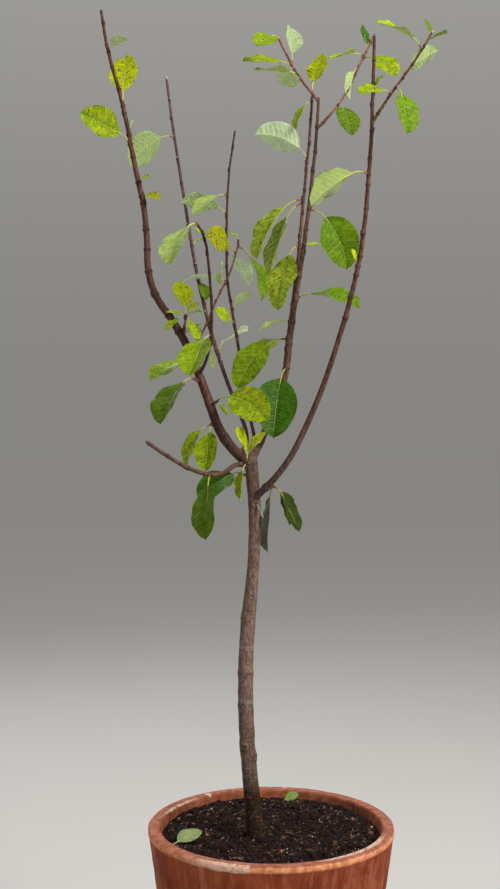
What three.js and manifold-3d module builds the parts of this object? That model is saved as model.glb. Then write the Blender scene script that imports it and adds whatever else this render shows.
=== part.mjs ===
// A young fruit tree with an open crown, growing in a terracotta pot filled with compost.
// Millimetres, +Z up. The origin is the middle of the pot's flat underside. Looking along +Y,
// +X is to the right. A lean is an angle from upright, and a heading is a compass angle in the
// ground plane, 0 towards +X and 90 towards +Y.

import * as THREE from 'three';
import { mergeVertices } from 'three/addons/utils/BufferGeometryUtils.js';
import Module from 'manifold-3d';

const wasm = await Module();
wasm.setup();

// Clearance kept between neighbouring pieces
const GAP = 0.3;

const POT = {
  height: 350,
  footRadius: 151,
  rimRadius: 200,
  innerRimRadius: 179.5,
  innerFloorRadius: 133,
  floorThickness: 27,
  footBevel: 4,
  lipHeight: 11,
  lipProud: 3,
  lipRounding: 3,
  segments: 48,
};

const SOIL = {
  top: 336,
  wallDrop: 3,
  flatRadius: 110,
  segments: 36,
};

// The trunk's radii are given at even shares of its length, from the soil to the fork
const TRUNK = {
  start: [-24, -28, SOIL.top],
  length: 610,
  leans: [6, 6, 3, 6, 4, 5],
  headings: [180, 150, 90, 15, -70, -220],
  radii: [13.4, 12.6, 12.4, 12.2, 11.8, 9.6, 10.0, 10.6],
  flare: 3,
  flareReach: 16,
  sides: 12,
  steps: 22,
  plunge: 12,
};

// Limbs: where each starts on its parent, how long it is, how it leans and heads at even
// shares of its length, and its radii at the start and the tip. A limb is a plain bough up
// to the share `bare` and the stem of a leafy crown from there on.
// A leaf is [share of the limb, heading, rise, curl, roll, blade length]: rise is the slope at
// the foot of the blade, curl is how far the blade bends down to its tip, and roll turns the
// blade about its midrib.
const LIMBS = {
  left: {
    from: ['trunk', 0.985],
    bough: 'left_bough',
    crown: 'left_crown',
    bare: 0.225,
    length: 795,
    leans: [59, 19, 26, 37, 0, 13, 10, 18, 8],
    headings: [170, 165, 145, 175, 135, 170, 185, 205, 210],
    radii: [8.8, 2.4],
    leaves: [
      [0.81, 85, 65, -5, 0, 76],
      [0.73, 215, 15, -5, 80, 78],
      [0.62, 330, -10, 25, -45, 30],
      [0.75, 70, 60, 20, 60, 24],
      [0.65, 315, 15, 25, -40, 22],
      [0.24, 225, -10, 30, 5, 78],
    ],
  },
  cross: {
    from: ['left', 0.27],
    crown: 'left_crown',
    bare: 0,
    length: 200,
    leans: [43, 31, 34, 16],
    headings: [-30, -45, -35, -55],
    radii: [1.9, 1.4],
    leaves: [
      [0.89, 235, 20, 20, 75, 62],
      [1.0, 120, 35, 25, -15, 30],
      [0.56, 85, 60, 15, 65, 48],
      [0.96, 0, -60, 30, -15, 74],
    ],
  },
  low_left: {
    from: ['trunk', 0.965],
    bough: 'low_left_bough',
    crown: 'low_left_spray',
    bare: 0.38,
    length: 205,
    leans: [40, 123, 75, 61, 55],
    headings: [-135, -140, -150, -150, -160],
    radii: [4.2, 2.9],
    leaves: [
      [0.45, 265, -55, 20, -50, 90],
    ],
  },
  right: {
    from: ['trunk', 0.895],
    bough: 'right_bough',
    crown: 'right_crown',
    bare: 0.42,
    length: 760,
    leans: [65, 27, 23, 16, 6, 2, 3],
    headings: [-60, -15, -40, -30, -45, 25, 60],
    radii: [5.6, 2.4],
    leaves: [
      [0.89, 20, 60, 25, -15, 30],
      [0.73, 220, -25, 20, -75, 102],
      [0.55, 235, 50, 25, 70, 24],
    ],
  },
  right_side: {
    from: ['right', 0.83],
    crown: 'right_crown',
    bare: 0,
    length: 155,
    leans: [39, 44, 34],
    headings: [-40, -35, -30],
    radii: [2.4, 1.7],
    leaves: [
      [0.33, 210, -5, 20, 40, 46],
      [0.41, 290, -60, 25, 15, 68],
      [0.52, 20, 35, 5, 40, 56],
      [0.82, 220, 15, 20, 30, 72],
      [0.95, 95, 60, 15, -50, 28],
      [0.86, 305, 10, 20, -30, 38],
    ],
  },
  back: {
    from: ['trunk', 0.995],
    bough: 'back_bough',
    crown: 'middle_right_crown',
    bare: 0.285,
    length: 620,
    leans: [57, 29, 7, 11, 9, 8, 5],
    headings: [70, 50, -45, -30, -35, -45, -55],
    radii: [6.8, 2.3],
    leaves: [
      [0.3, 250, -55, 25, 15, 108],
      [0.48, 330, -5, 25, -10, 92],
      [0.72, 340, -50, 35, -65, 96],
    ],
  },
  top_left: {
    from: ['back', 1],
    crown: 'middle_right_crown',
    bare: 0,
    length: 120,
    leans: [56, 44, 38],
    headings: [-140, -145, -130],
    radii: [2.2, 1.6],
    leaves: [
      [1.0, 240, -25, 10, 20, 60],
      [0.56, 200, 0, 10, 30, 68],
      [0.4, 205, 0, 10, 0, 66],
      [0.3, 140, 15, 10, -50, 50],
      [0.62, 95, 65, 5, -25, 56],
      [0.13, 50, 65, 0, -5, 58],
    ],
  },
  top_right: {
    from: ['back', 0.93],
    crown: 'middle_right_crown',
    bare: 0,
    length: 210,
    leans: [46, 35, 29],
    headings: [15, 50, 35],
    radii: [2.3, 1.7],
    leaves: [
      [0.8, 215, -10, 20, -5, 56],
      [0.86, 100, 65, 5, -35, 42],
      [0.78, 315, -25, 30, -30, 66],
      [0.69, 230, -60, 30, -80, 50],
      [0.27, 290, -45, 25, 5, 64],
    ],
  },
  twin: {
    from: ['back', 0.27],
    crown: 'middle_left_crown',
    bare: 0,
    length: 485,
    leans: [15, 12, 8, 7, 4],
    headings: [70, 50, 50, 35, 30],
    radii: [4.0, 2.2],
    leaves: [
      [0.99, 210, -55, 25, 0, 48],
      [0.77, 170, 40, 40, -60, 84],
      [0.64, 185, -45, 35, 20, 104],
      [0.63, 180, -65, 20, 25, 114],
      [0.48, 230, -60, 25, 0, 102],
      [0.2, 200, -10, 25, 5, 44],
      [0.14, 145, -20, 20, -10, 60],
      [0.14, 185, -35, 40, 45, 96],
    ],
  },
  rear_left: {
    from: ['left', 0.035],
    bough: 'rear_left_bough',
    crown: 'rear_left_crown',
    bare: 0.28,
    length: 745,
    leans: [75, 30, 23, 12, 10, 7],
    headings: [60, 135, 130, 140, 155, 170],
    radii: [4.0, 2.2],
    leaves: [
      [0.86, 215, -30, 25, -75, 86],
      [0.51, 300, -50, 25, 5, 36],
      [0.4, 180, -25, 25, 10, 46],
      [0.32, 50, 35, 30, 20, 74],
      [0.33, 95, -15, 35, 60, 54],
    ],
  },
  rear_middle: {
    from: ['back', 0.05],
    bough: 'rear_middle_bough',
    crown: 'rear_middle_crown',
    bare: 0.3,
    length: 590,
    leans: [53, 23, 15, 2, 10],
    headings: [100, 110, 130, 65, 0],
    radii: [3.2, 1.8],
    leaves: [
      [0.81, 220, -25, 30, 10, 66],
      [0.75, 170, 25, 30, -35, 68],
      [0.47, 345, 35, 15, 25, 34],
      [0.42, 225, 25, 10, 70, 40],
      [0.64, 45, -40, 25, 5, 58],
      [0.55, 185, 5, 25, -10, 66],
    ],
  },
  hook: {
    from: ['left', 0.22],
    bough: 'inner_left_bough',
    crown: 'inner_left_crown',
    bare: 0.2,
    length: 260,
    leans: [70, 33, 19, 16, 17, 40],
    headings: [-65, -65, -85, -105, -105, -145],
    radii: [2.9, 1.8],
    leaves: [
      [1.0, 240, -35, 35, -20, 84],
      [0.9, 135, 40, 15, -5, 26],
      [0.31, 250, -35, 20, -15, 86],
    ],
  },
  rosette: {
    from: ['left', 0.3],
    crown: 'left_crown',
    bare: 0,
    length: 36,
    leans: [5, 5],
    headings: [20, 20],
    radii: [1.9, 1.5],
    leaves: [
      [1, 120, 65, 10, 0, 52],
      [1, 350, 20, 25, -20, 28],
      [1, 0, 50, 20, -30, 26],
      [1, 200, 15, 20, 30, 26],
      [1, 195, -30, 25, 25, 32],
      [1, 300, -45, 15, 25, 44],
    ],
  },
};

// Leaf spurs: stubs on a bough that each carry a few leaves of their own
const SPUR_RADIUS = 2.2;
const SPURS = {
  left_high_spur: {
    from: ['left', 0.2],
    heading: 220,
    lean: 70,
    length: 17,
    leaves: [
      [1, 235, -35, 30, -10, 90],
    ],
  },
  left_middle_spur: {
    from: ['left', 0.15],
    heading: 310,
    lean: 70,
    length: 18,
    leaves: [
      [0.8, 320, -5, 45, -45, 90],
      [0.7, 0, -45, 15, -35, 22],
    ],
  },
  left_low_spur: {
    from: ['left', 0.1],
    heading: 230,
    lean: 70,
    length: 18,
    leaves: [
      [1, 180, -50, 40, 35, 64],
      [1, 260, -55, 25, -25, 68],
    ],
  },
  fork_spur: {
    from: ['trunk', 0.98],
    heading: 250,
    lean: 70,
    length: 22,
    leaves: [
      [1, 245, 55, 30, 75, 52],
      [0.9, 215, -75, 20, -10, 48],
      [1, 10, 60, 20, -15, 44],
    ],
  },
  knuckle_spur: {
    from: ['right', 0.06],
    heading: 60,
    lean: 105,
    length: 16,
    leaves: [
      [0.8, 40, -55, 30, -75, 58],
      [0.8, 355, -65, 0, -20, 64],
      [0.8, 100, -60, 30, 75, 96],
    ],
  },
  rear_fork_spur: {
    from: ['trunk', 0.95],
    heading: 130,
    lean: 80,
    length: 18,
    leaves: [
      [1, 220, -15, 35, 25, 80],
    ],
  },
};

// Small late leaves that every crown carries at seeded buds between its main leaves
const BUDS = {
  seed: 41,
  spacing: 62,
  firstShare: 0.3,
  lengths: [20, 40],
  rises: [10, 60],
  turnBetween: 137.5,
  turnJitter: 50,
};

const LEAF = {
  stalkShare: 0.34,
  shortestStalk: 8,
  stalkLift: 45,
  stalkRadius: 1.1,
  halfWidthShare: 0.32,
  halfThicknessShare: 0.008,
  fold: 0.22,
  widestPower: 0.8,
  fullness: 0.7,
  tipHalfWidth: 0.7,
  stalkSteps: 2,
  bladeSteps: 5,
};

const STRIDES = 60;
const BOUGH_SIDES = 8;
const STEM_SIDES = 6;
const SPUR_SIDES = 5;
const STEP_LENGTH = 36;
const COLLAR = 0.22;
const COLLAR_REACH = 14;

const MATERIALS = {
  terracotta: { color: 0xb5694a, roughness: 0.85, metalness: 0 },
  compost: { color: 0x2b211b, roughness: 1, metalness: 0 },
  bark: { color: 0x6d5a4b, roughness: 0.85, metalness: 0 },
  foliage: { color: 0x7f9441, roughness: 0.6, metalness: 0 },
};

const radians = THREE.MathUtils.degToRad;
const lerp = THREE.MathUtils.lerp;

// Evenly spaced values, read at a share of their run
function along(values, share) {
  const place = Math.min(Math.max(share, 0), 1) * (values.length - 1);
  const first = Math.min(Math.floor(place), values.length - 2);
  return lerp(values[first], values[first + 1], place - first);
}

function direction(lean, heading) {
  const across = Math.sin(radians(lean));
  const x = across * Math.cos(radians(heading));
  const y = across * Math.sin(radians(heading));
  return new THREE.Vector3(x, y, Math.cos(radians(lean)));
}

// Walks a limb from its start in short strides
function walk(start, { length, leans, headings }) {
  const points = [start.clone()];
  const tangents = [direction(leans[0], headings[0])];
  for (let i = 0; i < STRIDES; i += 1) {
    const middle = (i + 0.5) / STRIDES;
    const end = (i + 1) / STRIDES;
    const stride = direction(along(leans, middle), along(headings, middle));
    points.push(points[i].clone().addScaledVector(stride, length / STRIDES));
    tangents.push(direction(along(leans, end), along(headings, end)));
  }
  return { length, points, tangents };
}

function onPath(path, share) {
  const place = Math.min(Math.max(share, 0), 1) * STRIDES;
  const first = Math.min(Math.floor(place), STRIDES - 1);
  const point = path.points[first].clone().lerp(path.points[first + 1], place - first);
  const tangent = path.tangents[first].clone().lerp(path.tangents[first + 1], place - first);
  return { point, tangent: tangent.normalize() };
}

// Turns a closed geometry into a solid that can be joined and cut
function solidOf(geometry) {
  geometry.deleteAttribute('normal');
  geometry.deleteAttribute('uv');
  const merged = mergeVertices(geometry, 1e-4);
  const corners = merged.index.array;
  const kept = [];
  for (let i = 0; i < corners.length; i += 3) {
    const [a, b, c] = corners.slice(i, i + 3);
    if (a !== b && b !== c && c !== a) {
      kept.push(a, b, c);
    }
  }
  const vertProperties = new Float32Array(merged.attributes.position.array);
  const triVerts = new Uint32Array(kept);
  return new wasm.Manifold(new wasm.Mesh({ numProp: 3, vertProperties, triVerts }));
}

// Bends a cylinder along stations. Each station has a point, a tangent, the upper side of the
// section, and the section's half width and half height there.
function sweep(stations, sides) {
  const steps = stations.length - 1;
  const body = new THREE.CylinderGeometry(1, 1, 1, sides, steps);
  const position = body.attributes.position;
  for (let i = 0; i < position.count; i += 1) {
    const station = stations[Math.round((position.getY(i) + 0.5) * steps)];
    const side = new THREE.Vector3().crossVectors(station.tangent, station.upper);
    const outX = position.getX(i);
    const outZ = position.getZ(i);
    const lift = outZ * station.halfHeight + Math.abs(outX) * (station.raise ?? 0);
    const place = station.point.clone();
    place.addScaledVector(side, outX * station.halfWidth);
    place.addScaledVector(station.upper, lift);
    position.setXYZ(i, place.x, place.y, place.z);
  }
  return solidOf(body);
}

// Moves the first and last stations out along the path
function lengthen(stations, reach) {
  const last = stations[stations.length - 1];
  stations[0].point.addScaledVector(stations[0].tangent, -reach);
  last.point.addScaledVector(last.tangent, reach);
}

// A round limb between two shares of its path, its section carried along without a twist
function tube(path, fromShare, toShare, radiusAt, sides, swell = 0) {
  const steps = Math.max(2, Math.round(((toShare - fromShare) * path.length) / STEP_LENGTH));
  const stations = [];
  let upper = new THREE.Vector3(0.31, 0.86, 0.4);
  for (let i = 0; i <= steps; i += 1) {
    const share = lerp(fromShare, toShare, i / steps);
    const { point, tangent } = onPath(path, share);
    upper = upper.clone().addScaledVector(tangent, -upper.dot(tangent)).normalize();
    const radius = radiusAt(share) + swell;
    stations.push({ point, tangent, upper, halfWidth: radius, halfHeight: radius });
  }
  lengthen(stations, swell);
  return sweep(stations, sides);
}

// A limb's radius: an even taper with a collar where it leaves its parent
function taper(limb) {
  const [thick, thin] = limb.radii;
  return (share) => {
    const collar = 1 + COLLAR * Math.exp((-share * limb.length) / COLLAR_REACH);
    return lerp(thick, thin, share ** 0.85) * collar;
  };
}

function lathe(profile, segments) {
  const points = profile.map(([radius, height]) => new THREE.Vector2(radius, height));
  return solidOf(new THREE.LatheGeometry(points, segments).rotateX(Math.PI / 2));
}

// The pot: a plain tapering wall under a rounded lip that stands a little proud
function makePot() {
  const bodyTop = POT.height - POT.lipHeight;
  const bodyRadius = POT.rimRadius - POT.lipProud;
  const turnIn = POT.lipRounding;
  return lathe([
    [0, 0],
    [POT.footRadius - POT.footBevel, 0],
    [POT.footRadius, POT.footBevel],
    [bodyRadius, bodyTop - turnIn],
    [POT.rimRadius, bodyTop],
    [POT.rimRadius, POT.height - turnIn],
    [POT.rimRadius - turnIn, POT.height],
    [POT.innerRimRadius + turnIn, POT.height],
    [POT.innerRimRadius, POT.height - turnIn],
    [POT.innerFloorRadius, POT.floorThickness],
    [0, POT.floorThickness],
  ], POT.segments);
}

// The compost fills the pot to just under its rim, flat in the middle and lower at the wall
function makeSoil() {
  const edgeTop = SOIL.top - SOIL.wallDrop;
  const slope = (POT.innerRimRadius - POT.innerFloorRadius) / (POT.height - POT.floorThickness);
  const bottom = POT.floorThickness + GAP;
  // A coarser ring's corners stand on the circle, so only its radius is held clear
  const wallAt = (height) => POT.innerFloorRadius + slope * (height - POT.floorThickness) - 3 * GAP;
  return lathe([
    [0, bottom],
    [wallAt(bottom), bottom],
    [wallAt(edgeTop), edgeTop],
    [SOIL.flatRadius, SOIL.top],
    [0, SOIL.top],
  ], SOIL.segments);
}

function trunkRadius(share) {
  const height = share * TRUNK.length;
  return along(TRUNK.radii, share) + TRUNK.flare * Math.exp(-height / TRUNK.flareReach);
}

// The trunk: its foot is sunk below the soil and then cut flat just above it
function makeTrunk(path, swell = 0) {
  const stations = [];
  let upper = new THREE.Vector3(0, 1, 0);
  for (let i = -1; i <= TRUNK.steps; i += 1) {
    // Steps crowd together at the flared foot
    const share = (Math.max(i, 0) / TRUNK.steps) ** 1.3;
    const { point, tangent } = onPath(path, share);
    upper = upper.clone().addScaledVector(tangent, -upper.dot(tangent)).normalize();
    if (i < 0) {
      point.addScaledVector(tangent, -TRUNK.plunge);
    }
    const radius = trunkRadius(share) + swell;
    stations.push({ point, tangent, upper, halfWidth: radius, halfHeight: radius });
  }
  lengthen(stations, swell);
  const ground = new THREE.BoxGeometry(100, 100, 40);
  ground.translate(TRUNK.start[0], TRUNK.start[1], SOIL.top + GAP - 20);
  return sweep(stations, TRUNK.sides).subtract(solidOf(ground));
}

// The stations of one leaf, from the middle of its stem along stalk and blade to the tip
function leafStations(start, [, heading, rise, curl, roll, long]) {
  const stalk = Math.max(LEAF.stalkShare * long, LEAF.shortestStalk);
  const total = LEAF.stalkSteps + LEAF.bladeSteps;
  const level = new THREE.Vector3(-Math.sin(radians(heading)), Math.cos(radians(heading)), 0);
  const riseAt = (step) => {
    if (step < LEAF.stalkSteps) {
      return rise + LEAF.stalkLift * (1 - step / LEAF.stalkSteps);
    }
    return rise - (curl * (step - LEAF.stalkSteps)) / LEAF.bladeSteps;
  };
  const point = start.clone();
  const stations = [];
  for (let step = 0; step <= total; step += 1) {
    const tangent = direction(90 - riseAt(step), heading);
    const turned = radians(roll) * Math.min(1, step / LEAF.stalkSteps);
    const upper = new THREE.Vector3().crossVectors(tangent, level);
    upper.multiplyScalar(Math.cos(turned)).addScaledVector(level, Math.sin(turned));
    const blade = Math.max(0, (step - LEAF.stalkSteps) / LEAF.bladeSteps);
    const spread = Math.max(0, Math.sin(Math.PI * blade ** LEAF.widestPower)) ** LEAF.fullness;
    const halfWidth = Math.max(LEAF.halfWidthShare * long * spread, LEAF.tipHalfWidth);
    const inBlade = blade > 0;
    stations.push({
      point: point.clone(),
      tangent,
      upper,
      halfWidth: inBlade ? halfWidth : LEAF.stalkRadius,
      halfHeight: inBlade ? LEAF.halfThicknessShare * long : LEAF.stalkRadius,
      raise: inBlade ? LEAF.fold * halfWidth : 0,
    });
    const reach = step < LEAF.stalkSteps ? stalk / LEAF.stalkSteps : long / LEAF.bladeSteps;
    point.addScaledVector(direction(90 - riseAt(step + 0.5), heading), reach);
  }
  return stations;
}

// Places that are taken, so that a bud's leaf is skipped where it would touch anything
const claimed = [];

function claimPath(path, fromShare, radiusAt) {
  for (let i = 0; i <= STRIDES; i += 1) {
    const share = lerp(fromShare, 1, i / STRIDES);
    claimed.push({ point: onPath(path, share).point, room: radiusAt(share) + 2 });
  }
}

function bladePlaces(stations) {
  const blade = stations.slice(LEAF.stalkSteps + 1);
  return blade.map(({ point, halfWidth }) => ({ point, room: halfWidth + 2 }));
}

function isFree(places) {
  const clear = (a, b) => a.point.distanceTo(b.point) > a.room + b.room;
  return places.every((place) => claimed.every((other) => clear(place, other)));
}

function makeLeaf(path, leaf) {
  return sweep(leafStations(onPath(path, leaf[0]).point, leaf), 4);
}

// Seeded numbers between 0 and 1
let seedState = BUDS.seed;
function chance() {
  seedState = (seedState * 16807) % 2147483647;
  return seedState / 2147483647;
}

// Leaves at the buds of one shoot, each turned on from the last one
function budLeaves(path, fromShare) {
  const count = Math.round(((1 - fromShare) * path.length) / BUDS.spacing);
  const leaves = [];
  let heading = 360 * chance();
  for (let i = 0; i < count; i += 1) {
    heading += BUDS.turnBetween + BUDS.turnJitter * (chance() - 0.5);
    const share = lerp(Math.max(fromShare, BUDS.firstShare), 0.97, (i + chance()) / count);
    const rise = lerp(...BUDS.rises, chance());
    const long = lerp(...BUDS.lengths, chance());
    const leaf = [share, heading, rise, 20, 30 * (chance() - 0.5), long];
    const places = bladePlaces(leafStations(onPath(path, share).point, leaf));
    if (isFree(places)) {
      claimed.push(...places);
      leaves.push(leaf);
    }
  }
  return leaves;
}

// Cuts a limb clear of the limbs that it leaves or passes, and keeps its largest piece
function carve(solid, others) {
  let cut = solid;
  for (const other of others) {
    cut = cut.subtract(other);
  }
  const pieces = cut.decompose();
  return pieces.reduce((best, piece) => (piece.volume() > best.volume() ? piece : best));
}

function meshOf(name, solid, finish) {
  const { vertProperties, triVerts } = solid.getMesh();
  const geometry = new THREE.BufferGeometry();
  geometry.setAttribute('position', new THREE.BufferAttribute(vertProperties, 3));
  geometry.setIndex(new THREE.BufferAttribute(triVerts, 1));
  geometry.computeVertexNormals();
  const mesh = new THREE.Mesh(geometry, new THREE.MeshStandardMaterial(finish));
  mesh.name = name;
  return mesh;
}

const tree = new THREE.Group();
tree.name = 'potted_tree';
tree.add(meshOf('pot', makePot(), MATERIALS.terracotta));
tree.add(meshOf('soil', makeSoil(), MATERIALS.compost));

const trunkPath = walk(new THREE.Vector3(...TRUNK.start), TRUNK);
const paths = { trunk: trunkPath };
tree.add(meshOf('trunk', makeTrunk(trunkPath), MATERIALS.bark));
claimPath(trunkPath, 0, trunkRadius);

// Every limb's outer surface with the gap added, for cutting its neighbours
const cutters = [makeTrunk(trunkPath, GAP)];
const crowns = {};

for (const limb of Object.values(LIMBS)) {
  const [parent, share] = limb.from;
  const path = walk(onPath(paths[parent], share).point, limb);
  const name = Object.keys(LIMBS).find((key) => LIMBS[key] === limb);
  paths[name] = path;
  const radiusAt = taper(limb);
  claimPath(path, 0, radiusAt);
  const ownCutters = [];
  if (limb.bough) {
    const bough = carve(tube(path, 0, limb.bare, radiusAt, BOUGH_SIDES), cutters);
    tree.add(meshOf(limb.bough, bough, MATERIALS.bark));
    ownCutters.push(tube(path, 0, limb.bare, radiusAt, BOUGH_SIDES, GAP));
  }
  const stemFrom = limb.bare + (limb.bough ? GAP / limb.length : 0);
  const stem = tube(path, stemFrom, 1, radiusAt, STEM_SIDES);
  const sideShoot = !limb.bough && crowns[limb.crown];
  crowns[limb.crown] ??= [];
  // A side shoot is fused to its own crown, so only other limbs cut it
  crowns[limb.crown].push(sideShoot ? stem : carve(stem, cutters));
  if (!sideShoot) {
    ownCutters.push(tube(path, stemFrom, 1, radiusAt, STEM_SIDES, GAP));
  }
  cutters.push(...ownCutters);
}

for (const [name, spur] of Object.entries(SPURS)) {
  const [parent, share] = spur.from;
  const { heading, lean, length } = spur;
  const run = { length, leans: [lean, lean], headings: [heading, heading] };
  const path = walk(onPath(paths[parent], share).point, run);
  paths[name] = path;
  crowns[name] = [carve(tube(path, 0, 1, () => SPUR_RADIUS, SPUR_SIDES), cutters)];
}

// The main leaves first, then the small ones wherever they still have room
const grown = { ...LIMBS, ...SPURS };
for (const [name, { crown = name, leaves }] of Object.entries(grown)) {
  for (const leaf of leaves) {
    crowns[crown].push(makeLeaf(paths[name], leaf));
    claimed.push(...bladePlaces(leafStations(onPath(paths[name], leaf[0]).point, leaf)));
  }
}
for (const [name, { crown, bare }] of Object.entries(LIMBS)) {
  const leaves = budLeaves(paths[name], bare);
  crowns[crown].push(...leaves.map((leaf) => makeLeaf(paths[name], leaf)));
}

for (const [name, solids] of Object.entries(crowns)) {
  tree.add(meshOf(name, wasm.Manifold.union(solids), MATERIALS.foliage));
}

export default tree;
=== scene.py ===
import math

import bmesh
import bpy
import numpy as np
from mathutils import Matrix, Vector, noise
from mathutils.kdtree import KDTree


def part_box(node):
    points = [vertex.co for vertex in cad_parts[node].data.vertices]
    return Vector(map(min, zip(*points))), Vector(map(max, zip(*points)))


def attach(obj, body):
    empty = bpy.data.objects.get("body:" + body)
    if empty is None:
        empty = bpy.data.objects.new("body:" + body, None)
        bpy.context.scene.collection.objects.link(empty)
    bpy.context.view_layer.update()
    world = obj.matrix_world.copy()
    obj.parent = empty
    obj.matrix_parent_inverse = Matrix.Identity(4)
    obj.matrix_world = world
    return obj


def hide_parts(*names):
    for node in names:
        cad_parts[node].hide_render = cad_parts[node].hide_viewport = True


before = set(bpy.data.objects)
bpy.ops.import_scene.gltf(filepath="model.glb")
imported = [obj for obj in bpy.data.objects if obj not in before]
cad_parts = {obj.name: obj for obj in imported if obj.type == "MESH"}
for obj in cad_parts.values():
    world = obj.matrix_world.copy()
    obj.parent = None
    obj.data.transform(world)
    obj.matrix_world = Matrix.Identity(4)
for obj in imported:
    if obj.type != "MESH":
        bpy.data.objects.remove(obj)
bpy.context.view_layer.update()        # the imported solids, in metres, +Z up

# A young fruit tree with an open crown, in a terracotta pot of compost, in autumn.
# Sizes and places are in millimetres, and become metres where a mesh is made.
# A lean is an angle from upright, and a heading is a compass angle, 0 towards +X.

mm = 0.001
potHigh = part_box("pot")[1] / mm
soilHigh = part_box("soil")[1] / mm
print("frame loaded,", len(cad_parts), "solids")


def addObject(name, data):
    made = bpy.data.objects.new(name, data)
    bpy.context.scene.collection.objects.link(made)
    return made


# The camera stands where the photograph was taken from, and looks down a little
camera = {"eye": (-34.1, -1997, 995.6), "pitchDown": 0.85, "lens": 50.0, "sensorWidth": 36}


def placeCamera():
    lens = bpy.data.cameras.new("camera")
    lens.lens = camera["lens"]
    lens.sensor_width = camera["sensorWidth"]
    eye = addObject("camera", lens)
    eye.location = Vector(camera["eye"]) * mm
    eye.rotation_euler = (math.radians(90 - camera["pitchDown"]), 0, 0)
    bpy.context.scene.camera = eye


placeCamera()
print("camera placed")


# Small helpers for materials
def addNode(tree, kind, inputs=None, **settings):
    made = tree.nodes.new(kind)
    for key, value in settings.items():
        setattr(made, key, value)
    for key, value in (inputs or {}).items():
        if isinstance(value, bpy.types.NodeSocket):
            tree.links.new(value, made.inputs[key])
        else:
            made.inputs[key].default_value = value
    return made


def newMaterial(name, roughness, specular=0.4):
    made = bpy.data.materials.new(name)
    made.use_nodes = True
    shader = made.node_tree.nodes["Principled BSDF"]
    shader.inputs["Roughness"].default_value = roughness
    shader.inputs["Specular IOR Level"].default_value = specular
    return made, made.node_tree, shader


def placeOf(tree):
    return addNode(tree, "ShaderNodeTexCoord").outputs["Object"]


def stretched(tree, place, scale):
    return addNode(tree, "ShaderNodeMapping", {0: place, 3: scale}).outputs[0]


def grain(tree, place, size, detail=3.0, rough=0.55):
    # a noise whose features are about `size` millimetres across
    settings = {"Vector": place, "Scale": 1 / (size * mm), "Detail": detail, "Roughness": rough}
    return addNode(tree, "ShaderNodeTexNoise", settings).outputs["Fac"]


def cells(tree, place, size, feature="F1"):
    settings = {"Vector": place, "Scale": 1 / (size * mm)}
    return addNode(tree, "ShaderNodeTexVoronoi", settings, feature=feature).outputs["Distance"]


def between(tree, value, low, high, toLow=0.0, toHigh=1.0):
    # reads a value between low and high as a soft step
    settings = {0: value, 1: low, 2: high, 3: toLow, 4: toHigh}
    return addNode(tree, "ShaderNodeMapRange", settings, interpolation_type="SMOOTHSTEP").outputs[0]


def measured(tree, length, low, high, toLow=0.0, toHigh=1.0):
    # the same for a length, with low and high in millimetres
    return between(tree, length, low * mm, high * mm, toLow, toHigh)


def maths(tree, operation, *values):
    return addNode(tree, "ShaderNodeMath", dict(enumerate(values)), operation=operation).outputs[0]


def times(tree, value, *others):
    for other in others:
        value = maths(tree, "MULTIPLY", value, other)
    return value


def apart(tree, value, level):
    # how far a value is from a level, either way
    return maths(tree, "ABSOLUTE", maths(tree, "SUBTRACT", value, level))


def slant(tree, across, up):
    # the length of two steps taken square to each other
    return maths(tree, "SQRT", maths(tree, "ADD", times(tree, across, across), times(tree, up, up)))


def wandering(tree, place, length, size, detail, reach):
    # a length that strays over `reach` millimetres from place to place
    swing = maths(tree, "SUBTRACT", grain(tree, place, size, detail), 0.5)
    return maths(tree, "ADD", length, times(tree, swing, reach * mm))


def markOf(tree, name, output="Fac"):
    # a value that the mesh carries on its corners
    return addNode(tree, "ShaderNodeAttribute", attribute_name=name).outputs[output]


def blend(tree, share, low, high, how="MIX"):
    low, high = [(*c, 1) if isinstance(c, tuple) else c for c in (low, high)]
    settings = {0: share, 6: low, 7: high}
    made = addNode(tree, "ShaderNodeMix", settings, data_type="RGBA", blend_type=how)
    return made.outputs[2]


def wash(tree, colour, tint, *shares):
    # lays a tint over a colour, by all the shares multiplied
    return blend(tree, times(tree, *shares), colour, tint)


def dimmed(tree, colour, by):
    grey = addNode(tree, "ShaderNodeCombineColor", {0: by, 1: by, 2: by}).outputs[0]
    return blend(tree, 1.0, colour, grey, "MULTIPLY")


def scaled(colour, share, more=0.0):
    return tuple(min(1, share * c + more) for c in colour)


def patch(tree, place, middle, reach, ragged, grainSize):
    # 1 inside a ragged patch round a point, 0 outside
    point = tuple(Vector(middle) * mm)
    away = addNode(tree, "ShaderNodeVectorMath", {0: place, 1: point}, operation="DISTANCE")
    away = wandering(tree, place, away.outputs["Value"], grainSize, 4, ragged)
    return measured(tree, away, reach, reach * 0.6)


def patches(tree, place, spots, ragged, grainSize):
    return eitherOf(tree, [patch(tree, place, *spot, ragged, grainSize) for spot in spots])


def eitherOf(tree, masks):
    total = masks[0]
    for mask in masks[1:]:
        total = maths(tree, "MAXIMUM", total, mask)
    return total


def bump(tree, shader, height, strength, distance, under=None):
    settings = {"Height": height, "Strength": strength, "Distance": distance * mm}
    if under is not None:
        settings["Normal"] = under
    out = addNode(tree, "ShaderNodeBump", settings).outputs["Normal"]
    tree.links.new(out, shader.inputs["Normal"])
    return out


def paint(tree, shader, colour, roughness=None):
    tree.links.new(colour, shader.inputs["Base Color"])
    if roughness is not None:
        tree.links.new(roughness, shader.inputs["Roughness"])


# Small helpers for meshes. A piece collects parts, and each part has corners, faces and a
# material for each face or one for all.
def newPiece(name):
    return {"name": name, "corners": [], "faces": [], "slots": [], "materials": [], "marks": {},
            "count": 0}


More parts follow.
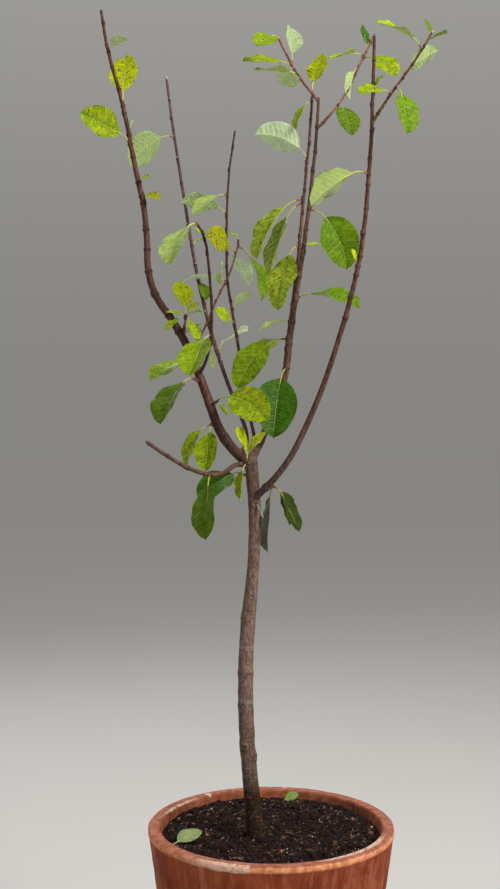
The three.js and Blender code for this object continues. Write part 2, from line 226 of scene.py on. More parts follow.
def addPart(piece, corners, faces, material, **marks):
    materials = material if isinstance(material, list) else [material] * len(faces)
    for one in dict.fromkeys(materials):
        if one not in piece["materials"]:
            piece["materials"].append(one)
    piece["slots"].extend(piece["materials"].index(one) for one in materials)
    start = piece["count"]
    piece["corners"].append(np.asarray(corners, float))
    piece["faces"].extend([tuple(int(c) + start for c in face) for face in faces])
    piece["count"] += len(corners)
    for key, values in marks.items():
        values = np.broadcast_to(values, (len(corners), *np.shape(values)[-1:]))
        piece["marks"].setdefault(key, []).append(values)


def finishPiece(piece, nodes=(), sharpAngle=50):
    corners = np.vstack(piece["corners"]) * mm
    mesh = bpy.data.meshes.new(piece["name"])
    mesh.from_pydata(corners.tolist(), [], piece["faces"])
    for material in piece["materials"]:
        mesh.materials.append(material)
    mesh.polygons.foreach_set("material_index", piece["slots"])
    mesh.polygons.foreach_set("use_smooth", [True] * len(mesh.polygons))
    mesh.set_sharp_from_angle(angle=math.radians(sharpAngle))
    for key, values in piece["marks"].items():
        values = np.concatenate(values)
        if values.shape[-1] == 3:
            layer = mesh.attributes.new(key, "FLOAT_COLOR", "POINT")
            values = np.hstack([values, np.ones((len(values), 1))])
            layer.data.foreach_set("color", values.astype(np.float32).ravel())
        else:
            layer = mesh.attributes.new(key, "FLOAT", "POINT")
            layer.data.foreach_set("value", values.astype(np.float32).ravel())
    mesh.update()
    made = addObject(piece["name"], mesh)
    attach(made, "root")
    if nodes:
        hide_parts(*nodes)
    print(" ", piece["name"], len(mesh.polygons), "faces")
    return made


def gridFaces(rows, columns, closed):
    # quads between rows of corners; a closed grid joins its last column to its first
    faces = []
    for i in range(rows - 1):
        for j in range(columns if closed else columns - 1):
            k = (j + 1) % columns
            faces.append((i * columns + j, i * columns + k, (i + 1) * columns + k,
                          (i + 1) * columns + j))
    return faces


def unit(vectors):
    return vectors / np.linalg.norm(vectors, axis=-1, keepdims=True)


def squareTo(axis, vector):
    # the direction of a vector once its part along the axis is taken away
    return unit(vector - axis * np.dot(vector, axis))


def carriedFrames(tangents):
    # an upper side for each station, carried along without a twist
    uppers = []
    upper = np.array([0.31, 0.86, 0.4])         # leans like no limb
    for tangent in tangents:
        upper = squareTo(tangent, upper)
        uppers.append(upper)
    return np.array(uppers)


def tubePart(points, tangents, radii, sides):
    # a closed tube along stations; radii may be one for each station or for each corner
    uppers = carriedFrames(tangents)
    across = np.cross(tangents, uppers)
    turns = np.arange(sides) * 2 * math.pi / sides
    radii = np.asarray(radii, float)
    if radii.ndim == 1:
        radii = np.repeat(radii[:, None], sides, 1)
    ring = across[:, None] * np.cos(turns)[:, None] + uppers[:, None] * np.sin(turns)[:, None]
    corners = (points[:, None] + ring * radii[..., None]).reshape(-1, 3)
    rows = len(points)
    # across, upper and tangent are left-handed, so the rings run the other way round
    faces = [face[::-1] for face in gridFaces(rows, sides, True)]
    faces.append(tuple(range(sides)))
    faces.append(tuple((rows - 1) * sides + j for j in range(sides))[::-1])
    return corners, faces


# The solids' own way of walking a limb, repeated here
def along(values, share):
    return np.interp(share, np.linspace(0, 1, len(values)), values)


def heads(lean, heading):
    lean, heading = np.radians(lean), np.radians(heading)
    across = np.sin(lean)
    return np.stack([across * np.cos(heading), across * np.sin(heading),
                     np.cos(lean) + 0 * heading], -1)


def walkLimb(start, run, strides=240):
    middles = (np.arange(strides) + 0.5) / strides
    ends = np.arange(strides + 1) / strides
    steps = heads(along(run["leans"], middles), along(run["headings"], middles))
    points = np.vstack([start, start + np.cumsum(steps, 0) * run["length"] / strides])
    tangents = heads(along(run["leans"], ends), along(run["headings"], ends))
    return {"shares": ends, "points": points, "tangents": tangents, "length": run["length"]}


def onPath(path, share):
    share = np.clip(share, 0, 1)
    point, tangent = [
        np.stack([np.interp(share, path["shares"], column) for column in path[key].T], -1)
        for key in ("points", "tangents")
    ]
    return point, unit(tangent)


# The trunk and the limbs, with the solids' own values. A leaf is [share of the limb, heading,
# rise, curl, roll, blade length, tint].
trunk = {
    "start": (-24, -28, soilHigh.z), "length": 610,
    "leans": [6, 6, 3, 6, 4, 5], "headings": [180, 150, 90, 15, -70, -220],
    "radii": [13.4, 12.6, 12.4, 12.2, 11.8, 9.6, 10.0, 10.6],
    "flare": 3, "flareReach": 16,
    "tone": (0.135, 0.092, 0.072),
}

limbs = {
    "left": {
        "from": ("trunk", 0.985), "bough": "left_bough", "crown": "left_crown",
        "bare": 0.225, "length": 795, "leans": [59, 19, 26, 37, 0, 13, 10, 18, 8],
        "headings": [170, 165, 145, 175, 135, 170, 185, 205, 210], "radii": [8.8, 2.4],
        "tone": (0.078, 0.033, 0.025),
        "leaves": [
            # a bite is gone from the far margin of the topmost leaf
            [0.81, 85, 65, -5, 0, 76, "yellow", {"foldBy": 0.4, "holes": [(0.93, 0.8, -1, 6.5)]}],
            [0.73, 215, 15, -5, 80, 78, "citron", {"foldBy": 2.2}],
            [0.62, 330, -10, 25, -45, 30, "ochre"],
            [0.75, 70, 60, 20, 60, 24, "sage"],
            [0.65, 315, 15, 25, -40, 22, "lime"],
            [0.24, 225, -10, 30, 5, 78, "dull"],
        ],
    },
    "cross": {
        "from": ("left", 0.27), "crown": "left_crown", "bare": 0, "length": 200,
        "leans": [43, 31, 34, 16], "headings": [-30, -45, -35, -55], "radii": [1.9, 1.4],
        "tone": (0.17, 0.092, 0.058),
        "leaves": [
            [0.89, 235, 20, 20, 75, 62, "ochre"],
            [1.0, 120, 35, 25, -15, 30, "lime"],
            [0.56, 85, 60, 15, 65, 48, "lime"],
            [0.96, 0, -60, 30, -15, 74, "green"],
        ],
    },
    "low_left": {
        "from": ("trunk", 0.965), "bough": "low_left_bough", "crown": "low_left_spray",
        "bare": 0.38, "length": 205, "leans": [40, 123, 75, 61, 55],
        "headings": [-135, -140, -150, -150, -160], "radii": [4.2, 2.9],
        "tone": (0.078, 0.042, 0.030),
        "leaves": [
            [0.45, 265, -55, 20, -50, 90, "moss"],
        ],
    },
    "right": {
        "from": ("trunk", 0.895), "bough": "right_bough", "crown": "right_crown",
        "bare": 0.42, "length": 760, "leans": [65, 27, 23, 16, 6, 2, 3],
        "headings": [-60, -15, -40, -30, -45, 25, 60], "radii": [5.6, 2.4],
        "tone": (0.084, 0.038, 0.030),
        "leaves": [
            [0.89, 20, 60, 25, -15, 30, "lime"],
            [0.73, 220, -25, 20, -75, 102, "dull", {"foldBy": 2.4, "wave": 2.4, "narrow": 0.62}],
            [0.55, 235, 50, 25, 70, 24, "yellow"],
        ],
    },
    "right_side": {
        "from": ("right", 0.83), "crown": "right_crown", "bare": 0, "length": 155,
        "leans": [39, 44, 34], "headings": [-40, -35, -30], "radii": [2.4, 1.7],
        "tone": (0.142, 0.070, 0.040),
        "leaves": [
            [0.33, 210, -5, 20, 40, 46, "citron"],
            [0.41, 290, -60, 25, 15, 68, "green"],
            [0.52, 20, 35, 5, 40, 56, "sage"],
            [0.82, 220, 15, 20, 30, 72, "lime"],
            [0.95, 95, 60, 15, -50, 28, "moss"],
            [0.86, 305, 10, 20, -30, 38, "green"],
        ],
    },
    "back": {
        "from": ("trunk", 0.995), "bough": "back_bough", "crown": "middle_right_crown",
        "bare": 0.285, "length": 620, "leans": [57, 29, 7, 11, 9, 8, 5],
        "headings": [70, 50, -45, -30, -35, -45, -55], "radii": [6.8, 2.3],
        "tone": (0.090, 0.047, 0.034),
        "leaves": [
            [0.3, 250, -55, 25, 15, 108, "deep"],
            [0.48, 330, -5, 25, -10, 92, "green"],
            [0.72, 340, -50, 35, -65, 96, "green"],
        ],
    },
    "top_left": {
        "from": ("back", 1), "crown": "middle_right_crown", "bare": 0, "length": 120,
        "leans": [56, 44, 38], "headings": [-140, -145, -130], "radii": [2.2, 1.6],
        "tone": (0.185, 0.078, 0.062),
        "leaves": [
            [1.0, 240, -25, 10, 20, 60, "dull"],
            [0.56, 200, 0, 10, 30, 68, "citron"],
            [0.4, 205, 0, 10, 0, 66, "lime"],
            [0.3, 140, 15, 10, -50, 50, "pale"],
            [0.62, 95, 65, 5, -25, 56, "silver", {"foldBy": 2.4}],
            [0.13, 50, 65, 0, -5, 58, "yellow"],
        ],
    },
    "top_right": {
        "from": ("back", 0.93), "crown": "middle_right_crown", "bare": 0, "length": 210,
        "leans": [46, 35, 29], "headings": [15, 50, 35], "radii": [2.3, 1.7],
        "tone": (0.155, 0.080, 0.050),
        "leaves": [
            [0.8, 215, -10, 20, -5, 56, "lime"],
            [0.86, 100, 65, 5, -35, 42, "deep"],
            [0.78, 315, -25, 30, -30, 66, "citron"],
            [0.69, 230, -60, 30, -80, 50, "sage"],
            [0.27, 290, -45, 25, 5, 64, "moss"],
        ],
    },
    "twin": {
        "from": ("back", 0.27), "crown": "middle_left_crown", "bare": 0, "length": 485,
        "leans": [15, 12, 8, 7, 4], "headings": [70, 50, 50, 35, 30], "radii": [4.0, 2.2],
        "tone": (0.080, 0.040, 0.030),
        "leaves": [
            [0.99, 210, -55, 25, 0, 48, "lime"],
            [0.77, 170, 40, 40, -60, 84, "silver"],
            [0.64, 185, -45, 35, 20, 104, "olive"],
            [0.63, 180, -65, 20, 25, 114, "olive"],
            [0.48, 230, -60, 25, 0, 102, "olive"],
            [0.2, 200, -10, 25, 5, 44, "pale"],
            [0.14, 145, -20, 20, -10, 60, "lime"],
            [0.14, 185, -35, 40, 45, 96, "dull"],
        ],
    },
    "rear_left": {
        "from": ("left", 0.035), "bough": "rear_left_bough", "crown": "rear_left_crown",
        "bare": 0.28, "length": 745, "leans": [75, 30, 23, 12, 10, 7],
        "headings": [60, 135, 130, 140, 155, 170], "radii": [4.0, 2.2],
        "tone": (0.092, 0.050, 0.048),
        "leaves": [
            [0.86, 215, -30, 25, -75, 86, "sage"],
            [0.51, 300, -50, 25, 5, 36, "green"],
            [0.4, 180, -25, 25, 10, 46, "green"],
            [0.32, 50, 35, 30, 20, 74, "silver"],
            [0.33, 95, -15, 35, 60, 54, "lime"],
        ],
    },
    "rear_middle": {
        "from": ("back", 0.05), "bough": "rear_middle_bough", "crown": "rear_middle_crown",
        "bare": 0.3, "length": 590, "leans": [53, 23, 15, 2, 10],
        "headings": [100, 110, 130, 65, 0], "radii": [3.2, 1.8],
        "tone": (0.070, 0.040, 0.022),
        "leaves": [
            [0.81, 220, -25, 30, 10, 66, "pale"],
            [0.75, 170, 25, 30, -35, 68, "pale"],
            [0.47, 345, 35, 15, 25, 34, "pale"],
            [0.42, 225, 25, 10, 70, 40, "lime"],
            [0.64, 45, -40, 25, 5, 58, "silver"],
            [0.55, 185, 5, 25, -10, 66, "silver"],
        ],
    },
    "hook": {
        "from": ("left", 0.22), "bough": "inner_left_bough", "crown": "inner_left_crown",
        "bare": 0.2, "length": 260, "leans": [70, 33, 19, 16, 17, 40],
        "headings": [-65, -65, -85, -105, -105, -145], "radii": [2.9, 1.8],
        "tone": (0.052, 0.025, 0.011),
        "leaves": [
            [1.0, 240, -35, 35, -20, 84, "pale"],
            [0.9, 135, 40, 15, -5, 26, "lime"],
            [0.31, 250, -35, 20, -15, 86, "dull"],
        ],
    },
    "rosette": {
        "from": ("left", 0.3), "crown": "left_crown", "bare": 0, "length": 36,
        "leans": [5, 5], "headings": [20, 20], "radii": [1.9, 1.5],
        "tone": (0.13, 0.065, 0.05),
        "leaves": [
            [1, 120, 65, 10, 0, 52, "yellow"],
            [1, 350, 20, 25, -20, 28, "lime"],
            [1, 0, 50, 20, -30, 26, "yellow"],
            [1, 200, 15, 20, 30, 26, "lime"],
            [1, 195, -30, 25, 25, 32, "lime"],
            [1, 300, -45, 15, 25, 44, "lime"],
        ],
    },
}

spurs = {
    "left_high_spur": {
        "from": ("left", 0.2), "heading": 220, "lean": 70, "length": 17,
        "leaves": [[1, 235, -35, 30, -10, 90, "moss"]],
    },
    "left_middle_spur": {
        "from": ("left", 0.15), "heading": 310, "lean": 70, "length": 18,
        "leaves": [[0.8, 320, -5, 45, -45, 90, "citron"], [0.7, 0, -45, 15, -35, 22, "lime"]],
    },
    "left_low_spur": {
        "from": ("left", 0.1), "heading": 230, "lean": 70, "length": 18,
        "leaves": [[1, 180, -50, 40, 35, 64, "lime"], [1, 260, -55, 25, -25, 68, "citron"]],
    },
    "fork_spur": {
        "from": ("trunk", 0.98), "heading": 250, "lean": 70, "length": 22,
        "leaves": [[1, 245, 55, 30, 75, 52, "yellow"], [0.9, 215, -75, 20, -10, 48, "yellow"],
                   [1, 10, 60, 20, -15, 44, "yellow"]],
    },
    "knuckle_spur": {
        "from": ("right", 0.06), "heading": 60, "lean": 105, "length": 16,
        # these leaves take the painted-shade tint
        "leaves": [[0.8, 40, -55, 30, -75, 58, "paintedShade"], [0.8, 355, -65, 0, -20, 64, "paintedShade"],
                   [0.8, 100, -60, 30, 75, 96, "paintedShade"]],
    },
    "rear_fork_spur": {
        "from": ("trunk", 0.95), "heading": 130, "lean": 80, "length": 18,
        "leaves": [[1, 220, -15, 35, 25, 80, "deep"]],
    },
}

taperPower = 0.85
collar = {"swell": 0.22, "reach": 14}
spurRadius = 2.2


def trunkRadius(share):
    share = np.asarray(share, float)
    foot = trunk["flare"] * np.exp(-np.maximum(share, 0) * trunk["length"] / trunk["flareReach"])
    return along(trunk["radii"], share) + foot


def limbRadius(limb, share):
    thick, thin = limb["radii"]
    share = np.asarray(share, float)
    swell = 1 + collar["swell"] * np.exp(-share * limb["length"] / collar["reach"])
    return (thick + (thin - thick) * np.maximum(share, 0) ** taperPower) * swell


def radiusOf(name, share):
    return trunkRadius(share) if name == "trunk" else limbRadius(limbs[name], share)


def growPaths():
    paths = {"trunk": walkLimb(np.array(trunk["start"], float), trunk)}
    for name, limb in limbs.items():
        parent, share = limb["from"]
        paths[name] = walkLimb(onPath(paths[parent], share)[0], limb)
    for name, spur in spurs.items():
        parent, share = spur["from"]
        run = {"length": spur["length"], "leans": [spur["lean"]] * 2,
               "headings": [spur["heading"]] * 2}
        paths[name] = walkLimb(onPath(paths[parent], share)[0], run)
    return paths


paths = growPaths()
print("limbs walked,", len(paths), "paths")


def leafFoot(name, leaf):
    return onPath(paths[name], leaf[0])[0]


# Leaves. The spine runs through 2 steps of stalk and 5 of blade, as in the solids.
leafForm = {
    "stalkShare": 0.34, "shortestStalk": 8, "stalkLift": 45, "stalkSteps": 2, "bladeSteps": 5,
    "stalkStations": (0, 0.25, 1, 2, 3.2, 6.6), "stalkRadii": (1.55, 1.2, 0.98, 1.0, 0.66, 0.2),
    "halfWidthShare": 0.32, "widestPower": 0.8, "fullness": 0.7, "fold": 0.22,
    "thickness": 0.4, "marginThickness": 0.3,
    # side veins: the first and the last, how wide a vein's strip is, how far those of one side
    # stand before the other's, and how far they run towards the tip
    "firstVein": 0.09, "lastVein": 0.93, "stripWidth": 0.3, "stagger": 0.2,
    "veinSkew": 0.25, "skewFrom": 0.16, "skewPower": 1.2,
    # the fine outline: how round its foot and its end are, and where the drip tip begins
    "footRound": 0.8, "endRound": 0.5, "middlePower": 0.94, "bodyEnd": 0.965,
    "tipWidth": 0.15, "tipFrom": 0.82,
    # how leaves differ: more or less folded, and one half wider than the other
    "foldRange": (0.5, 1.5), "lopsided": 0.08,
    "toothDepth": 0.010, "wave": 0.065, "quilt": 0.0055, "buckle": 0.012,
    "columns": (0.0, 0.1, 0.22, 0.36, 0.5, 0.64, 0.78, 0.91, 1.0),
}


def leafSpine(start, leaf, sway=0.0, twist=0.0, stalkLift=leafForm["stalkLift"]):
    _, heading, rise, curl, roll, long = leaf[:6]
    form = leafForm
    stalkSteps, bladeSteps = form["stalkSteps"], form["bladeSteps"]
    stalk = max(form["stalkShare"] * long, form["shortestStalk"])
    steps = np.linspace(0, stalkSteps + bladeSteps, 141)
    middles = (steps[1:] + steps[:-1]) / 2

    def riseAt(step):
        inStalk = rise + stalkLift * (1 - step / stalkSteps)
        return np.where(step < stalkSteps, inStalk, rise - curl * (step - stalkSteps) / bladeSteps)

    def headingAt(step):
        blade = np.clip((step - stalkSteps) / bladeSteps, 0, 1)
        return heading + sway * blade

    reach = np.where(middles < stalkSteps, stalk / stalkSteps, long / bladeSteps) * steps[1]
    moves = heads(90 - riseAt(middles), headingAt(middles)) * reach[:, None]
    points = np.vstack([start, start + np.cumsum(moves, 0)])
    tangents = heads(90 - riseAt(steps), headingAt(steps))
    turn = np.radians(headingAt(steps))
    level = np.stack([-np.sin(turn), np.cos(turn), 0 * turn], -1)
    rolled = np.radians(roll) * np.minimum(1, steps / stalkSteps)
    rolled = (rolled + np.radians(twist) * np.clip(steps / stalkSteps - 1, 0, None))[:, None]
    uppers = np.cross(tangents, level) * np.cos(rolled) + level * np.sin(rolled)
    return {"steps": steps, "points": points, "tangents": tangents, "uppers": uppers}


def readSpine(spine, steps):
    flat = np.ravel(steps)
    found = []
    for key in ("points", "tangents", "uppers"):
        columns = [np.interp(flat, spine["steps"], column) for column in spine[key].T]
        found.append(np.stack(columns, -1).reshape(*np.shape(steps), 3))
    return found


def bladeHalfWidth(share, long):
    spread = np.sin(np.pi * np.clip(share, 0, 1) ** leafForm["widestPower"])
    return leafForm["halfWidthShare"] * long * np.maximum(spread, 0) ** leafForm["fullness"]


def bladeOutline(share, long):
    # the leaf's own outline: a round body drawn out into a short drip tip
    form = leafForm
    spread = np.sin(np.pi * np.clip(share / form["bodyEnd"], 0, 1) ** form["middlePower"])
    roundness = form["footRound"] + (form["endRound"] - form["footRound"]) * share
    body = np.maximum(spread, 0) ** roundness
    drawn = np.clip((1 - share) / (1 - form["tipFrom"]), 0, 1) * np.clip(share * 5 - 3, 0, 1)
    tip = form["tipWidth"] * drawn
    return form["halfWidthShare"] * long * (body ** 3 + tip ** 3) ** (1 / 3)


def bladeRows(long):
    # shares of the blade where rows of corners start at the midrib; a side vein is a narrow
    # strip between two rows, marked -1 and 1
    veins = 8 if long > 70 else 6 if long > 42 else 5
    fill = 5 if long > 42 else 3
    first, last = leafForm["firstVein"], leafForm["lastVein"]
    gap = (last - first) / veins
    rows = [(first * k / 3, 0, 0) for k in range(3)]
    for k in range(veins):
        middle = first + k * gap
        rows += [(middle, -1, 1), (middle, 1, 1)]
        rows += [(middle + gap * j / (fill + 1), 0, 1 - 2 * (j % 2)) for j in range(1, fill + 1)]
    rows += [(last + (1 - last) * k / 3, 0, 0) for k in range(4)]
    shares, strips, teeth = np.array(rows).T[..., None]
    return shares, strips, teeth, gap


def bladeSurface(spine, long, rng, quilt=1.0, wave=1.0, foldBy=1.0, narrow=1.0):
    # both skins of a blade, in rows of corners from margin to margin
    form = leafForm
    shares, strips, teeth, gap = bladeRows(long)
    half = np.array(form["columns"])
    out = np.concatenate([half[::-1], half])                       # 1 at both margins
    side = np.repeat([-1.0, 1.0], len(half))
    veinSize = math.sqrt(long / 60)

    hump = 4 * shares * (1 - shares)
    strip = strips * form["stripWidth"] * (1 - 0.7 * out) / long * veinSize
    row = shares + strip + side * form["stagger"] * gap * hump
    ramp = np.clip(shares / form["skewFrom"], 0, 1) ** form["skewPower"]
    skew = form["veinSkew"] * ramp * (1 - shares) * out ** form["skewPower"]
    share = np.clip(row + skew, 0, 1)

    fold = foldBy * form["fold"] * rng.uniform(*form["foldRange"])
    lean = 1 + side * rng.uniform(-form["lopsided"], form["lopsided"])
    width = np.maximum(bladeOutline(share, long) * lean, 0.4 + 0.8 * (1 - share) ** 12)
    midrib = np.minimum((0.5 - 0.35 * share) * veinSize, 0.6 * width)
    lateral = midrib + (width * narrow - midrib) * out
    edge = np.clip((out - 0.8) / 0.2, 0, 1) ** 2
    lateral = lateral + teeth * edge * form["toothDepth"] * long * hump ** 0.3

    # the leaf swells between its side veins, waves at its margin and buckles a little
    place = ((row - form["firstVein"]) / gap) % 1
    inBlade = (shares > 0.03) & (shares < 0.97)
    swell = (1 - np.abs(2 * place - 1) ** 2.2) * inBlade
    phases = rng.uniform(0, 2 * np.pi, 4)
    ripple = np.where(side > 0, np.sin(2 * np.pi * 2.3 * share + phases[0]),
                      np.sin(2 * np.pi * 2.0 * share + phases[1]))
    ripple = ripple + 0.2 * np.sin(2 * np.pi * 5.3 * share + phases[2] + side)
    lift = fold * width * out ** 1.15
    lift = lift + quilt * form["quilt"] * long * swell * np.clip(out / 0.25, 0, 1) * (1 - out ** 3)
    lift = lift + wave * form["wave"] * width * out ** 2.5 * ripple
    lift = lift + form["buckle"] * long * np.sin(2 * np.pi * 1.3 * share + phases[3]) * hump
    lift = lift - 0.25 * (out < 0.02)

    points, tangents, uppers = readSpine(spine, form["stalkSteps"] + form["bladeSteps"] * share)
    across = np.cross(tangents, uppers)
    thick = form["thickness"] + (form["marginThickness"] - form["thickness"]) * out
    ridge = 0.22 * np.abs(strips) * (1 - out) + 0.3 * (out < 0.02)
    top = points + across * (side * lateral)[..., None] + uppers * lift[..., None]
    lower = top - uppers * (thick + ridge)[..., None]
    toSideVein = np.exp(-(np.minimum(place, 1 - place) / 0.12) ** 2) * inBlade
    toMidrib = np.exp(-(lateral / (0.04 * long)) ** 2)
    return {"share": share, "across": side * out, "top": top, "lower": lower,
            "veinRow": (strips[1:, 0] == 1) & (strips[:-1, 0] == -1),
            "closeness": np.maximum(toSideVein, toMidrib)}


def keptCells(surface, long, holes):
    # the cells between corners that no hole or bite takes away
    middleShare = (surface["share"][1:] + surface["share"][:-1])[:, 1:] / 2
    middleOut = surface["across"][1:]
    kept = np.ones(middleShare.shape, bool)
    for holeShare, holeOut, holeSide, size in holes:
        away = ((middleShare - holeShare) * long) ** 2
        away = away + ((middleOut - holeSide * holeOut) * bladeHalfWidth(holeShare, long)) ** 2
        kept &= away > size ** 2
    kept[:, kept.shape[1] // 2] = True                            # the midrib stays whole
    return kept


def bladeFaces(kept, veinRow, names):
    # faces on top, underneath and round every margin, with a finish for each
    rows, columns = kept.shape[0] + 1, kept.shape[1] + 1
    index = np.arange(rows * columns).reshape(rows, columns)
    below = index + rows * columns
    around = np.pad(kept, 1)
    faces, finishes = [], []
    for i, j in zip(*np.nonzero(kept)):
        a, b, c, d = index[i, j], index[i + 1, j], index[i + 1, j + 1], index[i, j + 1]
        e, f, g, h = below[i, j], below[i + 1, j], below[i + 1, j + 1], below[i, j + 1]
        vein = veinRow[i] or j == kept.shape[1] // 2
        faces += [(a, d, c, b), (e, f, g, h)]
        finishes += [names["vein" if vein else "top"], names["underVein" if vein else "under"]]
        sides = [((a, b, f, e), around[i + 1, j]), ((c, d, h, g), around[i + 1, j + 2]),
                 ((d, a, e, h), around[i, j + 1]), ((b, c, g, f), around[i + 2, j + 1])]
        walls = [wall for wall, neighbour in sides if not neighbour]
        inside = 0 < j < columns - 2 and 0 < i < rows - 2
        faces += walls
        finishes += [names["scorched" if inside else "top"]] * len(walls)
    return faces, finishes


def bladePart(spine, long, tint, rng, quilt=1.0, holes=(), **look):
    surface = bladeSurface(spine, long, rng, quilt, **look)
    kept = keptCells(surface, long, holes)
    faces, finishes = bladeFaces(kept, surface["veinRow"], leafMaterials[tint])
    corners = np.vstack([surface["top"].reshape(-1, 3), surface["lower"].reshape(-1, 3)])
    used, renumbered = np.unique(faces, return_inverse=True)
    closeness = np.tile(surface["closeness"].ravel(), 2)[used][:, None]
    return corners[used], renumbered.reshape(-1, 4), finishes, closeness


def stalkPart(spine, long, tint):
    # the stalk, which runs on under the blade as its midrib
    form = leafForm
    stalkSteps, bladeSteps = form["stalkSteps"], form["bladeSteps"]
    inStalk = np.linspace(0, stalkSteps, 9)
    inBlade = stalkSteps + bladeSteps * np.linspace(0.05, 0.92, 12)
    steps = np.concatenate([inStalk, inBlade])
    points, tangents, uppers = readSpine(spine, steps)
    blade = np.clip((steps - stalkSteps) / bladeSteps, 0, 1)
    radii = math.sqrt(long / 70) * np.interp(steps, form["stalkStations"], form["stalkRadii"])
    points = points - uppers * (np.minimum(blade * 12, 1) * (0.2 + 0.75 * radii))[:, None]
    sides = 7
    corners, faces = tubePart(points, unit(tangents), radii, sides)
    # only the foot of the stalk is pink
    inFoot = [min(face) // sides < 3 for face in faces]
    return corners, faces, [stalkFoot if foot else leafMaterials[tint]["stalk"] for foot in inFoot]


def addLeaf(piece, start, leaf, rng, main=True, stalkLift=leafForm["stalkLift"]):
    loose = 1.0 if main else 2.5
    long, tint = leaf[5], leaf[6]
    look = leaf[7] if len(leaf) > 7 else {}
    sway, twist = loose * rng.uniform(-4, 4), loose * rng.uniform(-8, 8)
    spine = leafSpine(start, leaf, sway, twist, stalkLift)
    quilt = leafTints[tint].get("quilt", 1.0)
    corners, faces, materials, closeness = bladePart(spine, long, tint, rng, quilt, **look)
    addPart(piece, corners, faces, materials, veinCloseness=closeness)
    corners, faces, material = stalkPart(spine, long, tint)
    addPart(piece, corners, faces, material, veinCloseness=[0.0])


# Leaf colours: two for the face between the veins, one that stays by the veins, and the
# underside. A user can retint the whole tree here.
leafTints = {
    "yellow": {"face": ((0.40, 0.46, 0.003), (0.29, 0.38, 0.003)), "byVein": (0.19, 0.30, 0.003),
               "under": (0.36, 0.42, 0.05), "vein": (0.50, 0.54, 0.05), "specks": 0.60},
    "ochre": {"face": ((0.30, 0.32, 0.004), (0.20, 0.24, 0.003)), "byVein": (0.14, 0.19, 0.003),
              "under": (0.25, 0.28, 0.05), "vein": (0.34, 0.36, 0.04), "specks": 0.56},
    "lime": {"face": ((0.34, 0.44, 0.008), (0.18, 0.30, 0.005)), "byVein": (0.11, 0.215, 0.005),
             "under": (0.38, 0.49, 0.09), "vein": (0.38, 0.48, 0.05), "specks": 0.66},
    "citron": {"face": ((0.275, 0.34, 0.006), (0.145, 0.235, 0.004)), "byVein": (0.09, 0.17, 0.004),
               "under": (0.30, 0.39, 0.08), "vein": (0.31, 0.40, 0.04), "specks": 0.62},
    "dull": {"face": ((0.21, 0.31, 0.005), (0.14, 0.22, 0.004)), "byVein": (0.085, 0.15, 0.003),
             "under": (0.20, 0.27, 0.07), "vein": (0.27, 0.36, 0.05), "specks": 0.70},
    "green": {"face": ((0.125, 0.22, 0.004), (0.076, 0.155, 0.003)), "byVein": (0.052, 0.11, 0.003),
              "under": (0.22, 0.33, 0.09), "vein": (0.19, 0.30, 0.035), "specks": 0.80},
    "moss": {"face": ((0.105, 0.18, 0.006), (0.065, 0.125, 0.005)), "byVein": (0.045, 0.09, 0.004),
             "under": (0.12, 0.19, 0.06), "vein": (0.16, 0.25, 0.04), "specks": 0.78},
    "deep": {"face": ((0.042, 0.115, 0.003), (0.025, 0.075, 0.002)), "byVein": (0.020, 0.060, 0.002),
             "under": (0.12, 0.20, 0.07), "vein": (0.10, 0.20, 0.025), "specks": 0.86,
             "roughness": 0.46},
    # painted shade: a near-black copy of the leaf colours, for leaves that hang in shadow
    "paintedShade": {"face": ((0.032, 0.050, 0.003), (0.019, 0.032, 0.002)), "byVein": (0.014, 0.025, 0.002),
             "under": (0.045, 0.065, 0.02), "vein": (0.055, 0.085, 0.015), "specks": 0.80},
    "olive": {"face": ((0.44, 0.54, 0.04), (0.27, 0.38, 0.016)), "byVein": (0.13, 0.22, 0.006),
              "under": (0.36, 0.46, 0.13), "vein": (0.32, 0.41, 0.06), "specks": 0.62,
              "quilt": 1.3},
    "pale": {"face": ((0.38, 0.49, 0.13), (0.28, 0.39, 0.09)), "byVein": (0.19, 0.30, 0.06),
             "under": (0.50, 0.63, 0.29), "vein": (0.44, 0.54, 0.17), "specks": 0.80},
    "silver": {"face": ((0.34, 0.42, 0.23), (0.26, 0.34, 0.165)), "byVein": (0.18, 0.26, 0.11),
               "under": (0.60, 0.74, 0.44), "vein": (0.40, 0.48, 0.26), "specks": 0.84},
    "sage": {"face": ((0.23, 0.34, 0.085), (0.16, 0.26, 0.06)), "byVein": (0.11, 0.19, 0.04),
             "under": (0.28, 0.38, 0.14), "vein": (0.31, 0.41, 0.14), "specks": 0.76},
    "faded": {"face": ((0.213, 0.26, 0.117), (0.157, 0.207, 0.081)), "byVein": (0.12, 0.17, 0.06),
              "under": (0.26, 0.30, 0.16), "vein": (0.26, 0.31, 0.14), "specks": 0.85},
}
stalkColour = {"foot": (0.30, 0.10, 0.045), "blade": (0.54, 0.54, 0.10)}
scorchColour = {"dark": (0.045, 0.018, 0.005), "light": (0.20, 0.09, 0.025)}


def letLightIn(shader, weight, radius):
    # light sinks a little way into a leaf
    shader.inputs["Subsurface Weight"].default_value = weight
    shader.inputs["Subsurface Radius"].default_value = radius
    shader.inputs["Subsurface Scale"].default_value = 0.6 * mm


